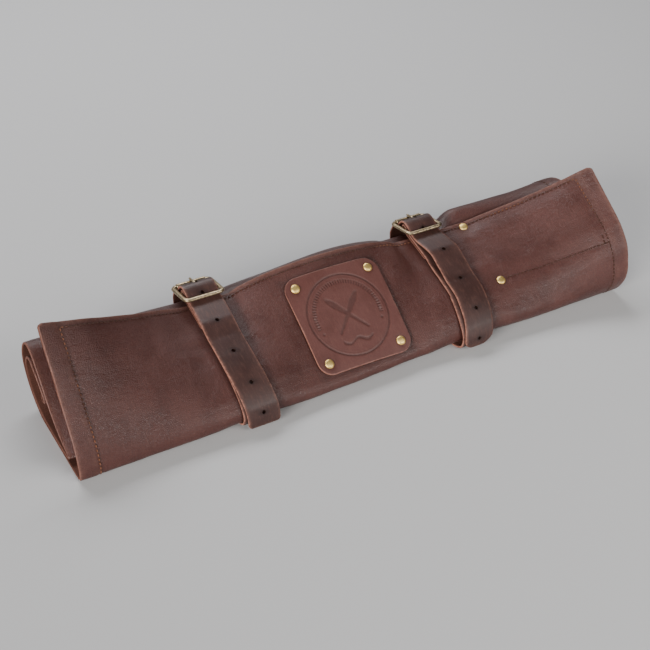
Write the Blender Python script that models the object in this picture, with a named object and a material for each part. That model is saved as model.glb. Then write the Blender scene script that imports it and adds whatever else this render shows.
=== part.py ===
"""Brush roll case: a leather roll buckled shut by two straps. Metres, +Z up, X along the roll."""

import math

import bmesh
import bpy
from mathutils import Matrix, Vector

for old in list(bpy.data.objects):
    bpy.data.objects.remove(old, do_unlink=True)

MM = 0.001
MIDDLE_Y = 50.1  # the section's y halfway between front and back, moved to the origin

# --- leather and metal sizes, millimetres -----------------------------------------------------
HALF_LENGTH = 232.0
COVER_T = 2.0
PANEL_T = 1.2
STRAP_T = 2.0
SKIVED_T = 1.3
STRAP_W = 25.0
FIT = 0.35  # air between pieces that touch

STRAP_X = {"left": -100.5, "right": 91.5}

# --- buckle -----------------------------------------------------------------------------------
FRAME_R = 1.3
FRAME_HALF_W = 14.9
FRONT_BAR = (75.4, 61.5)
FRAME_LENGTH = 26.0
FRAME_FALL = 7.6  # degrees the frame leans back
ROLLER_IN, ROLLER_OUT = 1.6, 2.2
ROLLER_LENGTH = 23.0
PRONG_R = 0.85
PRONG_W = 2.6

# --- label patch and rivets -------------------------------------------------------------------
PATCH_X = -5.5
PATCH_SIDE = 79.0
PATCH_TOP = 12.5  # down the flap from its free edge
PATCH_T = 2.0
PATCH_CORNER = 11.0
PATCH_GAP = 0.7
RIVET_INSET = 8.5
RIVET_HEAD_R = 3.6
RIVET_SHANK_R = 1.3
RIVET_HOLE_R = 1.7

# --- accessory pocket inside the flap ---------------------------------------------------------
POCKET_X0, POCKET_X1 = 120.5, 222.0
POCKET_TOP, POCKET_BOTTOM = 1.0, 68.0
POCKET_GAP = 0.85
POCKET_RIVETS = ((128.5, 4.8), (127.5, 63.5))

# --- the rolled section (y, z), outermost turn first ------------------------------------------
# free edge, flap, floor, back, top fold, second turn, inner floor, inner back, last strip
LEFT_END = [
    (45.6, 100.3), (37.2, 86), (27.3, 70.4), (14.6, 49), (5.5, 31), (1.8, 18), (1.0, 8), (4.5, 1.9),
    (24, 1.0), (48, 1.0), (72, 1.3), (89, 9), (100, 22), (103, 36), (98.5, 48), (91, 56),
    (83, 58.5), (74, 53.5), (62, 40), (49, 24.5), (36, 13), (26, 8.4), (22.5, 5.9), (30, 4.2),
    (52, 4.2), (72, 5.2), (86, 12.5), (95, 24), (96.5, 34.5), (92, 42.5), (85, 45.5), (76, 40),
    (68, 33.5), (62, 28),
]
AT_STRAP = [
    (81, 52.9), (64, 47.8), (45, 41.4), (29, 35.4), (15.5, 28.8), (4.5, 19.8), (-0.8, 11), (4, 4.1),
    (25, 3.5), (50, 3.5), (78, 3.7), (95, 8.5), (104.5, 18), (107, 30), (103.5, 40.5), (97, 46.2),
    (89, 48), (79, 46.2), (62, 41), (46, 35.9), (19.5, 24.4), (9.2, 16.2), (5.6, 10.6), (12, 7.2),
    (40, 6.8), (72, 7.2), (88, 11.5), (97.5, 20), (99.5, 29.5), (95.5, 37.5), (87.5, 41.2),
    (78, 39.6), (69, 36.4), (60, 32.4),
]
MIDDLE = [
    (74.3, 68.2), (60.7, 58.6), (45, 46.9), (31, 35.4), (17, 23.6), (6, 14.6), (0, 8), (4.5, 2.9),
    (25, 2.2), (50, 2.2), (79, 2.5), (96.5, 8), (107, 19.0), (109.5, 33), (105, 45.5),
    (96.5, 54.5), (86, 58.6), (76.5, 57.2), (62.5, 49.8), (46.5, 38.3), (24.5, 21.6), (12.5, 12.6),
    (7.8, 8.8), (13, 6.2), (40, 5.8), (73, 6.2), (89.5, 11), (100, 21), (102.3, 33), (98, 43),
    (89, 49.6), (79.5, 49.5), (70, 45), (61, 39),
]
RIGHT_END = [
    (49.2, 93.2), (36, 83.2), (20, 71.4), (5, 59.5), (-5, 44), (-9, 26), (-5, 11.5), (4, 2.1),
    (26, 1.0), (52, 1.0), (80, 1.3), (98, 8), (108.5, 21), (111, 38), (106.5, 53), (97, 62.5),
    (85, 66), (72, 64.5), (55, 59.5), (36, 52), (16, 40), (5, 25), (4.5, 11), (12, 4.6),
    (42, 4.2), (75, 5), (91, 12), (102, 23), (104.5, 37), (100, 50), (90.5, 57.5), (79, 58),
    (69, 54.5), (60, 50),
]
STRAP_ZONES = ((-118.0, -84.0), (68.0, 110.0))
FORWARD, FORWARD_ZONE = 5.0, (-84.0, 68.0)  # how far the front bottom corner comes forward, and where it eases
FORWARD_SHARE = {3: 0.2, 4: 0.5, 5: 0.8, 6: 1.0, 7: 0.9, 8: 0.4, 20: 0.45, 21: 0.75, 22: 0.85, 23: 0.6}
CURL_R, CURL_TURN, CURL_STEPS = 3.0, 250.0, 6

COVER_STATIONS = (-232, -204, -176, -146, -129, -118, -84, -72, -46, -8, 30, 56, 68, 110, 122, 150, 178, 206, 232)
SPAN_STEPS = {
    0: 1, 1: 1, 2: 1, 5: 3, 6: 3, 7: 2, 8: 1, 9: 1, 14: 3, 15: 2, 17: 1, 18: 1, 19: 1, 21: 3, 22: 2,
    23: 1, 24: 1, 29: 3, 31: 1, 32: 1,
}


# --- curves -----------------------------------------------------------------------------------
def on_spline(points, u):
    """Catmull-Rom through points, u counted in points."""
    last = len(points) - 1
    i = min(int(u), last - 1)
    t = u - i
    p0, p1, p2 = points[max(i - 1, 0)], points[i], points[i + 1]
    p3 = points[min(i + 2, last)]
    return tuple(
        0.5 * (2 * b + (c - a) * t + (2 * a - 5 * b + 4 * c - d) * t * t + (3 * b - a - 3 * c + d) * t**3)
        for a, b, c, d in zip(p0, p1, p2, p3)
    )


def blend(a, b, w, rest=None, floor=None):
    """Points between a and b: w for the flap, rest for the turns inside it, floor for the underside."""
    rest = w if rest is None else rest
    floor = rest if floor is None else floor
    half = (w + rest) / 2
    weights = [w] * 6 + [(w + floor) / 2] + [floor] * 4 + [rest] * 5 + [half] + [w] * 6
    weights += [floor] * 3 + [rest] * 4 + [half] + [w] * 40
    return [(p[0] * (1 - k) + q[0] * k, p[1] * (1 - k) + q[1] * k) for p, q, k in zip(a, b, weights)]


def eased(low, high, v):
    t = min(1.0, max(0.0, (v - low) / (high - low)))
    return t * t * (3 - 2 * t)


def plain_section(x):
    """Control points of the roll at x: raised free corners, pinched at the straps, full between."""
    (l0, l1), (r0, r1) = STRAP_ZONES
    if x < l0:
        t = (l0 - x) / (HALF_LENGTH + l0)
        return blend(AT_STRAP, LEFT_END, t**1.1, t, t**0.35)
    if x > r1:
        t = (x - r1) / (HALF_LENGTH - r1)
        rest = 0.66 * eased(0, 22, x - r1) + 0.16 * eased(190, HALF_LENGTH, x)
        return blend(AT_STRAP, RIGHT_END, t**1.9, rest, t**0.35)
    if l1 < x < r0:
        middle = (l1 + r0) / 2
        near = 1 - abs(x - middle) / (r0 - middle)
        w = 1 - (1 - near) ** 2.4
        return blend(AT_STRAP, MIDDLE, w, w * (0.6 + 0.55 * eased(-50, 35, x)), w)
    return list(AT_STRAP)


def section(x):
    """Control points of the roll at x, its front bottom corner let forward on the left."""
    by = FORWARD * (1 - eased(FORWARD_ZONE[0], FORWARD_ZONE[1], x))
    return [(y - by * FORWARD_SHARE.get(i, 0.0), z) for i, (y, z) in enumerate(plain_section(x))]


def curled(points):
    """The path ended by a small rolled edge turning into the core."""
    (y0, z0), (y1, z1) = points[-2], points[-1]
    size = math.hypot(y1 - y0, z1 - z0)
    dy, dz = (y1 - y0) / size, (z1 - z0) / size
    cy, cz = y1 - dz * CURL_R, z1 + dy * CURL_R
    ny, nz = dz, -dy
    out = list(points)
    for k in range(1, CURL_STEPS + 1):
        a = math.radians(CURL_TURN) * k / CURL_STEPS
        out.append((cy + CURL_R * (ny * math.cos(a) + dy * math.sin(a)),
                    cz + CURL_R * (nz * math.cos(a) + dz * math.sin(a))))
    return out


def sampled(x, first=0, last=None, curl=False):
    points = section(x)
    last = len(points) - 1 if last is None else last
    out = []
    for i in range(first, last):
        n = SPAN_STEPS.get(i, 2)
        out += [on_spline(points, i + k / n) for k in range(n)]
    out.append(on_spline(points, last))
    lowest = min(points[8][1], points[9][1])
    out = [(y, max(z, lowest)) for y, z in out]
    return curled(out) if curl else out


def cover_path(x, first=0, last=None):
    """The cover's middle layer at any x, straight between its stations."""
    for x0, x1 in zip(COVER_STATIONS, COVER_STATIONS[1:]):
        if x <= x1:
            return blend(sampled(x0, first, last), sampled(x1, first, last), (x - x0) / (x1 - x0))
    return sampled(x, first, last)


def outward(path, i):
    a, b = path[max(i - 1, 0)], path[min(i + 1, len(path) - 1)]
    dy, dz = b[0] - a[0], b[1] - a[1]
    size = math.hypot(dy, dz)
    return dz / size, -dy / size


def offset(path, by):
    out = []
    for i, (y, z) in enumerate(path):
        ny, nz = outward(path, i)
        out.append((y + ny * by, z + nz * by))
    return out


def at_length(path, s):
    """Point and outward direction at arc length s from the start of a path."""
    for i in range(len(path) - 1):
        (ya, za), (yb, zb) = path[i], path[i + 1]
        step = math.hypot(yb - ya, zb - za)
        if s <= step or i == len(path) - 2:
            t = s / step
            n = ((zb - za) / step, (ya - yb) / step)
            return (ya + (yb - ya) * t, za + (zb - za) * t), n
        s -= step


def flap_path(x):
    return cover_path(x, 0, 7)


def flap_spot(x, s, off):
    """Place on the flap, s down from the free edge, off out of its middle layer."""
    (y, z), (ny, nz) = at_length(flap_path(x), s)
    return Vector((x, y + ny * off, z + nz * off)), Vector((0, ny, nz))


def flap_seat(x, s, off):
    """The same place with the true direction out of the surface, for a rivet."""
    spot, normal = flap_spot(x, s, off)
    along = flap_spot(x + 3, s, off)[0] - flap_spot(x - 3, s, off)[0]
    down = flap_spot(x, s + 3, off)[0] - flap_spot(x, s - 3, off)[0]
    out = along.cross(down).normalized()
    return spot, out if out.dot(normal) > 0 else -out


# --- materials and objects --------------------------------------------------------------------
def material(name, rgb, metallic, roughness):
    made = bpy.data.materials.new(name)
    made.use_nodes = True
    shader = made.node_tree.nodes["Principled BSDF"]
    shader.inputs["Base Color"].default_value = (*rgb, 1)
    shader.inputs["Metallic"].default_value = metallic
    shader.inputs["Roughness"].default_value = roughness
    made.diffuse_color = (*rgb, 1)
    return made


COVER_LEATHER = material("cover leather", (0.11, 0.045, 0.035), 0, 0.45)
STRAP_LEATHER = material("strap leather", (0.07, 0.032, 0.027), 0, 0.5)
PANEL_LEATHER = material("lining leather", (0.2, 0.1, 0.07), 0, 0.8)
PATCH_LEATHER = material("patch leather", (0.1, 0.035, 0.028), 0, 0.42)
BRASS = material("bright brass", (0.75, 0.55, 0.2), 1, 0.25)
OLD_BRASS = material("antique brass", (0.3, 0.22, 0.12), 1, 0.4)

PARTS = bpy.data.collections.new("brush roll case")
TOOLS = bpy.data.collections.new("cutters")
bpy.context.scene.collection.children.link(PARTS)
bpy.context.scene.collection.children.link(TOOLS)


def mesh_object(name, verts, faces, look=None, origin=(0, 0, 0)):
    """An object from millimetre points; its origin sits at the given millimetre point."""
    shift = Vector(origin)
    centred = shift - Vector((0, MIDDLE_Y, 0))
    mesh = bpy.data.meshes.new(name)
    mesh.from_pydata([(Vector(v) - shift) * MM for v in verts], [], faces)
    bm = bmesh.new()
    bm.from_mesh(mesh)
    bmesh.ops.recalc_face_normals(bm, faces=bm.faces)
    bm.to_mesh(mesh)
    bm.free()
    made = bpy.data.objects.new(name, mesh)
    made.location = centred * MM
    if look is None:
        TOOLS.objects.link(made)
        made.hide_render = True
        made.display_type = "WIRE"
    else:
        PARTS.objects.link(made)
        mesh.materials.append(look)
    return made


def boolean(target, tool, kind="DIFFERENCE"):
    step = target.modifiers.new(f"{kind.lower()} {tool.name}", "BOOLEAN")
    step.object = tool
    step.operation = kind
    step.solver = "EXACT"


def sheet(name, rows, thickness, look):
    """A closed leather sheet lofted through rows of (spot, outward direction)."""
    count = len(rows[0])
    verts = []
    for side in (1, -1):
        for row in rows:
            for spot, normal in row:
                verts.append(spot + normal * (side * thickness / 2))
    far = len(rows) * count
    faces = []
    for i in range(len(rows) - 1):
        for j in range(count - 1):
            a = i * count + j
            faces.append((a, a + 1, a + count + 1, a + count))
            faces.append((far + a, far + a + count, far + a + count + 1, far + a + 1))
    for i in range(len(rows) - 1):
        for j in (0, count - 1):
            a = i * count + j
            faces.append((a, a + count, far + a + count, far + a))
    for i in (0, len(rows) - 1):
        for j in range(count - 1):
            a = i * count + j
            faces.append((a, a + 1, far + a + 1, far + a))
    return mesh_object(name, verts, faces, look)


def row_of(x, path, off=0.0):
    row = []
    for i, (y, z) in enumerate(path):
        ny, nz = outward(path, i)
        row.append((Vector((x, y + ny * off, z + nz * off)), Vector((0, ny, nz))))
    return row


def ribbon(name, path, thickness, x_mid, widths, look, origin=(0, 0, 0), drift=None):
    """A strap along a (y, z) path; thickness, width and sideways drift are given per point."""
    drift = drift or [0.0] * len(path)
    verts, faces = [], []
    for i, (y, z) in enumerate(path):
        ny, nz = outward(path, i)
        t = thickness[i] / 2
        for side, lift in ((-1, t), (1, t), (1, -t), (-1, -t)):
            verts.append((x_mid + drift[i] + side * widths[i] / 2, y + ny * lift, z + nz * lift))
    for i in range(len(path) - 1):
        a = i * 4
        for k in range(4):
            faces.append((a + k, a + (k + 1) % 4, a + 4 + (k + 1) % 4, a + 4 + k))
    faces.append((0, 1, 2, 3))
    end = 4 * (len(path) - 1)
    faces.append((end, end + 1, end + 2, end + 3))
    return mesh_object(name, verts, faces, look, origin)


def turned(name, profile, spot, axis, look=None, sides=16):
    """A lathe body: profile of (radius, height) along axis from spot."""
    axis = Vector(axis).normalized()
    turn = Vector((0, 0, 1)).rotation_difference(axis).to_matrix()
    verts, faces, rings = [], [], []
    for r, h in profile:
        if r == 0:
            rings.append([len(verts)])
            verts.append(Vector(spot) + turn @ Vector((0, 0, h)))
            continue
        rings.append(list(range(len(verts), len(verts) + sides)))
        for k in range(sides):
            a = 2 * math.pi * k / sides
            verts.append(Vector(spot) + turn @ Vector((r * math.cos(a), r * math.sin(a), h)))
    for low, high in zip(rings, rings[1:]):
        for k in range(sides):
            a, b = low[k % len(low)], low[(k + 1) % len(low)]
            c, d = high[(k + 1) % len(high)], high[k % len(high)]
            ring = [v for n, v in enumerate((a, b, c, d)) if v not in (a, b, c, d)[:n]]
            if len(ring) > 2:
                faces.append(ring)
    return mesh_object(name, verts, faces, look, spot)


def tube(name, path, radius, look=None, closed=False, sides=10, origin=(0, 0, 0)):
    """A round bar along points; radius is one number or one per point."""
    path = [Vector(p) for p in path]
    count = len(path)
    radii = radius if isinstance(radius, (list, tuple)) else [radius] * count
    verts, faces = [], []
    side = None
    for i, p in enumerate(path):
        before = path[i - 1] if closed or i else p
        after = path[(i + 1) % count] if closed or i < count - 1 else p
        along = (after - before).normalized()
        if side is None:
            side = along.orthogonal().normalized()
        side = (side - along * side.dot(along)).normalized()
        up = along.cross(side)
        for k in range(sides):
            a = 2 * math.pi * k / sides
            verts.append(p + (side * math.cos(a) + up * math.sin(a)) * radii[i])
    for i in range(count if closed else count - 1):
        for k in range(sides):
            a, b = i * sides, ((i + 1) % count) * sides
            faces.append((a + k, a + (k + 1) % sides, b + (k + 1) % sides, b + k))
    if not closed:
        faces.append(tuple(range(sides)))
        faces.append(tuple(range((count - 1) * sides, count * sides)))
    return mesh_object(name, verts, faces, look, origin)


def block(name, lo, hi, look=None, turn=None, about=(0, 0, 0)):
    corners = [Vector((x, y, z)) for x in (lo[0], hi[0]) for y in (lo[1], hi[1]) for z in (lo[2], hi[2])]
    if turn is not None:
        corners = [Vector(about) + turn @ (c - Vector(about)) for c in corners]
    faces = [(0, 1, 3, 2), (4, 6, 7, 5), (0, 4, 5, 1), (2, 3, 7, 6), (0, 2, 6, 4), (1, 5, 7, 3)]
    return mesh_object(name, corners, faces, look)


def rivet(name, spot, axis, stack, back_t=0.7):
    """A domed cap, a post through the stack, and the pressed back cap."""
    under = -stack - FIT
    profile = [
        (0, 1.9), (1.6, 1.65), (2.9, 1.0), (RIVET_HEAD_R, FIT), (RIVET_SHANK_R, FIT),
        (RIVET_SHANK_R, under), (2.8, under), (2.6, under - back_t), (0, under - back_t),
    ]
    return turned(name, profile, spot, axis, BRASS)


def rivet_hole(name, spot, axis, reach=6.0):
    return turned(name, [(0, 3.0), (RIVET_HOLE_R, 3.0), (RIVET_HOLE_R, -reach), (0, -reach)],
                  spot, axis, None, 12)


# --- cover: one sheet, rolled two and a quarter turns -----------------------------------------
cover = sheet("cover", [row_of(x, sampled(x, curl=True)) for x in COVER_STATIONS], COVER_T, COVER_LEATHER)

# --- brush pocket panel on the inner face of the last turn ------------------------------------
INNER_FIRST, INNER_LAST = 23, 29
panel_rows = []
for x in (-226, *COVER_STATIONS[1:-1], 226):
    path = cover_path(x, INNER_FIRST, INNER_LAST)
    panel_rows.append(row_of(x, path, -(COVER_T / 2 + FIT + PANEL_T / 2)))
sheet("brush_pocket_panel", panel_rows, PANEL_T, PANEL_LEATHER)

# --- accessory pocket behind the flap ---------------------------------------------------------
pocket_rows = []
for x in (POCKET_X0, 150, 178, 206, POCKET_X1):
    row = []
    for k in range(10):
        s = POCKET_TOP + (POCKET_BOTTOM - POCKET_TOP) * k / 9
        spot, normal = flap_spot(x, s, -(COVER_T / 2 + POCKET_GAP + PANEL_T / 2))
        row.append((spot, normal))
    pocket_rows.append(row)
pocket = sheet("accessory_pocket", pocket_rows, PANEL_T, PANEL_LEATHER)

# --- label patch ------------------------------------------------------------------------------
PATCH_OFF = COVER_T / 2 + PATCH_GAP + PATCH_T / 2
half = PATCH_SIDE / 2
patch_rows = []
for dx in (-half, -half + 3.2, -half + PATCH_CORNER, -18, 0, 18, half - PATCH_CORNER, half - 3.2, half):
    into = max(0.0, abs(dx) - (half - PATCH_CORNER))
    cut = PATCH_CORNER - math.sqrt(PATCH_CORNER**2 - into**2) if into < PATCH_CORNER else PATCH_CORNER
    row = []
    for k in range(14):
        s = PATCH_TOP + cut + (PATCH_SIDE - 2 * cut) * k / 13
        row.append(flap_spot(PATCH_X + dx, s, PATCH_OFF))
    patch_rows.append(row)
patch = sheet("label_patch", patch_rows, PATCH_T, PATCH_LEATHER)

number = 0
for s in (PATCH_TOP + RIVET_INSET, PATCH_TOP + PATCH_SIDE - RIVET_INSET):
    for dx in (-half + RIVET_INSET, half - RIVET_INSET):
        number += 1
        spot, normal = flap_seat(PATCH_X + dx, s, PATCH_OFF + PATCH_T / 2)
        rivet(f"patch_rivet_{number}", spot, normal, PATCH_T + PATCH_GAP + COVER_T + 0.2)
        hole = rivet_hole(f"patch hole {number}", spot, normal)
        boolean(patch, hole)
        boolean(cover, hole)

for number, (x, s) in enumerate(POCKET_RIVETS, 1):
    spot, normal = flap_seat(x, s, COVER_T / 2)
    rivet(f"pocket_rivet_{number}", spot, normal, COVER_T + POCKET_GAP + PANEL_T + 0.15, 0.6)
    hole = rivet_hole(f"pocket hole {number}", spot, normal, 4.6)
    boolean(pocket, hole)
    boolean(cover, hole)

# --- straps and buckles -----------------------------------------------------------------------
lean = math.radians(FRAME_FALL)
frame_dir = (math.cos(lean), -math.sin(lean))
CENTRE_BAR = (FRONT_BAR[0] + frame_dir[0] * FRAME_LENGTH / 2, FRONT_BAR[1] + frame_dir[1] * FRAME_LENGTH / 2)
REAR_BAR = (FRONT_BAR[0] + frame_dir[0] * FRAME_LENGTH, FRONT_BAR[1] + frame_dir[1] * FRAME_LENGTH)

FLAP = {side: flap_path(x) for side, x in STRAP_X.items()}
FLOOR_AND_BACK = {side: cover_path(x, 7, 14)[1:] for side, x in STRAP_X.items()}

TURN_BACK = 24.0  # how far the folded chape end runs down the flap
STRAP_OFF = COVER_T / 2 + 0.5 + STRAP_T / 2
TAIL_START = 9.0
TAIL_OFF = STRAP_OFF + STRAP_T + 0.5
TAIL_TIP_Z = {"left": 2.2, "right": 2.6}
SLACK = {"left": 0.0, "right": 4.0}  # how far a strap stands off the bottom front corner
DRIFT = {"left": 0.0, "right": -7.0}  # how far it wanders sideways there
TAIL_LIFT = {"left": 0.4, "right": 2.8}  # how far the tail bows off the chape below the buckle
TAIL_BOW = 55.0  # length of that bow
TAIL_DRIFT = {  # (length down the tail, sideways) pairs
    "left": ((0, 0), (20, -1.2), (60, -0.5), (102, 2.2)),
    "right": ((0, 0), (20, 2.0), (58, 2.6), (78, 0.4), (102, -5.5)),
}
HOLE_AT = (17.5, 45.0, 72.5, 95.0)  # down the tail


def along_flap(side, s0, s1, steps, off0, off1):
    out = []
    for k in range(steps + 1):
        t = k / steps
        (y, z), (ny, nz) = at_length(FLAP[side], s0 + (s1 - s0) * t)
        off = off0 + (off1 - off0) * t
        out.append((y + ny * off, z + nz * off))
    return out


def arc(centre, radius, start, turn, steps):
    return [
        (centre[0] + radius * math.cos(math.radians(start + turn * k / steps)),
         centre[1] + radius * math.sin(math.radians(start + turn * k / steps)))
        for k in range(steps + 1)
    ]


def flap_index(side, s):
    """The first cover point at least s down the flap."""
    run = 0.0
    flap = FLAP[side]
    for i, (a, b) in enumerate(zip(flap, flap[1:]), 1):
        run += math.hypot(b[0] - a[0], b[1] - a[1])
        if run >= s:
            return i
    return len(flap) - 1


def hung(path, slack):
    """The path let out from the bottom front corner of the roll."""
    out = []
    for y, z in path:
        by = slack * max(0.0, 1 - math.hypot(y - 1.0, z - 4.0) / 24.0)
        out.append((y - 0.8 * by, z - 0.4 * by))
    return out


def strap_path(side):
    """Turned-back end, fold on the centre bar, down the front, under, up the back; slack hangs it off the corner."""
    fold_r = FRAME_R + FIT + SKIVED_T / 2
    turn_off = COVER_T / 2 + FIT + SKIVED_T / 2
    path, thick = [], []

    def add(points, t):
        for p in points:
            path.append(p)
            thick.append(t)

    add(along_flap(side, TURN_BACK, 4, 5, turn_off, turn_off), SKIVED_T)
    add([(83.6, 55.9)], SKIVED_T)
    add(arc(CENTRE_BAR, fold_r, -80, 195, 9), SKIVED_T)
    add([(80.4, 57.6)], 1.7)
    add(along_flap(side, 4, 25, 5, 4.0, 4.0), STRAP_T)
    add(along_flap(side, 30, 36, 2, 3.0, STRAP_OFF), STRAP_T)
    around = offset(FLAP[side] + FLOOR_AND_BACK[side], STRAP_OFF)
    add([(y, max(z, STRAP_T / 2)) for y, z in hung(around[flap_index(side, 42.0):], SLACK[side])], STRAP_T)
    return path, thick


def whole_strap(side):
    path, thick = strap_path(side)
    # leave the back of the roll, pass under the roller, arch over the centre bar
    while path[-1][1] > 41.5 or path[-1][0] < 50:
        path.pop()
        thick.pop()
    over = [(107.4, 46.0), (105.2, 51.0)] + arc(REAR_BAR, ROLLER_OUT + 1.6, -55, -95, 4)
    over += [
        (95.8, 59.6), (93.6, 62.4), (91.2, 64.0), (CENTRE_BAR[0], CENTRE_BAR[1] + 4.9), (84.6, 63.7),
        (81.0, 61.7), (78.2, 59.6), (76.1, 58.5),
    ]
    for p in over:
        path.append(p)
        thick.append(STRAP_T)
    path.append(along_flap(side, TAIL_START - 0.5, TAIL_START, 1, 6.8, 6.8)[0])
    thick.append(STRAP_T)
    return path, thick


def bowed(side, s, off):
    """A tail point s down the flap, let off it by the bow."""
    t = min(1.0, max(0.0, (s - TAIL_START) / (TAIL_BOW - TAIL_START)))
    return along_flap(side, s, s, 1, off + TAIL_LIFT[side] * math.sin(math.pi * t), 0)[0]


def tail_path(side):
    path = [bowed(side, s, off) for s, off in (
        (TAIL_START, 6.9), (13, 7.05), (17.5, 7.2), (22, 7.35), (26, 7.5), (32, 6.4), (38, 5.2), (43, TAIL_OFF))]
    outer = hung(offset(FLAP[side], TAIL_OFF), SLACK[side])
    path += [p for p in outer[flap_index(side, 50.0):] if p[1] > 13.5]
    y = min(p[0] for p in outer) - 0.2
    path += [(y, 10.5), (y, 6.5), (y, TAIL_TIP_Z[side])]
    return path


def sideways(side, run):
    """How far the tail has wandered sideways, run down it."""
    spots = TAIL_DRIFT[side]
    for (s0, d0), (s1, d1) in zip(spots, spots[1:]):
        if run <= s1:
            return d0 + (d1 - d0) * (run - s0) / (s1 - s0)
    return spots[-1][1]


def buckle(side):
    x = STRAP_X[side]
    loop = []
    corner = 3.2
    for cx, cy, start in (
        (FRAME_HALF_W - corner, FRAME_LENGTH - corner, 0),
        (-FRAME_HALF_W + corner, FRAME_LENGTH - corner, 90),
        (-FRAME_HALF_W + corner, corner, 180),
        (FRAME_HALF_W - corner, corner, 270),
    ):
        for k in range(4):
            a = math.radians(start + 90 * k / 3)
            u, v = cx + corner * math.cos(a), cy + corner * math.sin(a)
            loop.append((x + u, FRONT_BAR[0] + frame_dir[0] * v, FRONT_BAR[1] + frame_dir[1] * v))
    frame = tube(f"buckle_frame_{side}", loop, FRAME_R, OLD_BRASS, closed=True)
    bar = tube(f"centre bar {side}", [(x - FRAME_HALF_W, *CENTRE_BAR), (x + FRAME_HALF_W, *CENTRE_BAR)], FRAME_R)
    boolean(frame, bar, "UNION")

    ends = (x - ROLLER_LENGTH / 2, x + ROLLER_LENGTH / 2)
    ring = [(ROLLER_OUT, 0), (ROLLER_OUT, ROLLER_LENGTH), (ROLLER_IN, ROLLER_LENGTH), (ROLLER_IN, 0), (ROLLER_OUT, 0)]
    ring_body(f"buckle_roller_{side}", ring, (x, *REAR_BAR))

    pivot = (x, *CENTRE_BAR)
    loop_out = 2.6
    prong = ring_body(
        f"buckle_prong_{side}",
        [(loop_out, 0), (loop_out, PRONG_W), (1.55, PRONG_W), (1.55, 0), (loop_out, 0)], pivot, OLD_BRASS)
    tip = (x, REAR_BAR[0] + 2.0, REAR_BAR[1] + ROLLER_OUT + FIT + PRONG_R + 0.05)
    root = (x, CENTRE_BAR[0] + 1.0, CENTRE_BAR[1] + 2.2)
    mid = (x, (root[1] + tip[1]) / 2 + 0.5, (root[2] + tip[2]) / 2 + 0.35)
    shank = tube(f"prong shank {side}", [root, mid, tip], [0.75, PRONG_R, 0.65], origin=pivot)
    boolean(prong, shank, "UNION")


def ring_body(name, ring, centre, look=OLD_BRASS, sides=16):
    """A ring about an X axis through centre: profile of (radius, along)."""
    width = max(h for _, h in ring)
    verts, faces = [], []
    profile = ring[:-1]
    for r, h in profile:
        for k in range(sides):
            a = 2 * math.pi * k / sides
            verts.append((centre[0] + h - width / 2, centre[1] + r * math.cos(a), centre[2] + r * math.sin(a)))
    for i in range(len(profile)):
        a, b = i * sides, ((i + 1) % len(profile)) * sides
        for k in range(sides):
            faces.append((a + k, a + (k + 1) % sides, b + (k + 1) % sides, b + k))
    return mesh_object(name, verts, faces, look, centre)


for side in ("left", "right"):
    x = STRAP_X[side]
    buckle(side)
    path, thick = whole_strap(side)
    drift = [DRIFT[side] * max(0.0, 1 - math.hypot(y - 6.0, z - 1.0) / 42.0) ** 1.3 if z < 34 else 0.0
             for y, z in path]
    strap = ribbon(f"strap_{side}", path, thick, x, [STRAP_W] * len(path), STRAP_LEATHER, drift=drift)
    fold_slot = block(f"fold slot {side}", (x - 2.3, CENTRE_BAR[0] - 3.6, CENTRE_BAR[1] - 4.6),
                      (x + 2.3, CENTRE_BAR[0] + 3.6, CENTRE_BAR[1] + 3.2))
    prong_hole = block(f"prong hole {side}", (x - 1.7, CENTRE_BAR[0] + 1.2, CENTRE_BAR[1] - 1.0),
                       (x + 1.7, CENTRE_BAR[0] + 10.0, CENTRE_BAR[1] + 8.0))
    boolean(strap, fold_slot)
    boolean(strap, prong_hole)

    tail = tail_path(side)
    widths = [STRAP_W] * len(tail)
    widths[-1] = STRAP_W - 7.0
    (hy, hz), (hny, hnz) = at_length(FLAP[side], TAIL_START)
    hinge = (x, hy + hny * 7.8, hz + hnz * 7.8)
    runs = [0.0]
    for a, b in zip(tail, tail[1:]):
        runs.append(runs[-1] + math.hypot(b[0] - a[0], b[1] - a[1]))
    tail_body = ribbon(f"strap_tail_{side}", tail, [STRAP_T] * len(tail), x, widths, STRAP_LEATHER, hinge,
                       [sideways(side, run) for run in runs])
    for k, run in enumerate(HOLE_AT):
        (y, z), (ny, nz) = at_length(tail, run)
        hole = turned(f"strap hole {side} {k}", [(0, 2.5), (1.7, 2.5), (1.7, -2.5), (0, -2.5)],
                      (x + sideways(side, run), y, z), (0, ny, nz), None, 10)
        boolean(tail_body, hole)

    # flat rivet through the chape and its turned-back end, under the tail
    (y, z), (ny, nz) = at_length(FLAP[side], 17.0)
    top = (x, y + ny * 5.0, z + nz * 5.0)
    low = -(5.0 - (COVER_T / 2 + FIT)) + 0.1
    turned(f"chape_rivet_{side}", [(0, 0.85), (3.2, 0.8), (3.4, FIT), (1.2, FIT), (1.2, low), (0, low)],
           top, (0, ny, nz), BRASS)
    hole = turned(f"chape hole {side}", [(0, 2.0), (1.6, 2.0), (1.6, low - 0.28), (0, low - 0.28)],
                  top, (0, ny, nz), None, 12)
    boolean(strap, hole)

    # two rivets hold the strap to the back of the cover
    back = cover_path(x, 12, 13)
    (y, z), (ny, nz) = at_length(back, 9.5)
    for number, dx in enumerate((-6.5, 6.5), 1):
        spot = (x + dx, y + ny * (STRAP_OFF + STRAP_T / 2), z + nz * (STRAP_OFF + STRAP_T / 2))
        rivet(f"back_rivet_{side}_{number}", spot, (0, ny, nz), STRAP_T + 0.5 + COVER_T)
        hole = rivet_hole(f"back hole {side} {number}", spot, (0, ny, nz), 5.6)
        boolean(strap, hole)
        boolean(cover, hole)
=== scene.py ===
"""Brush roll case, the looks: a leather roll held shut by two buckled straps."""

import math

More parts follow.
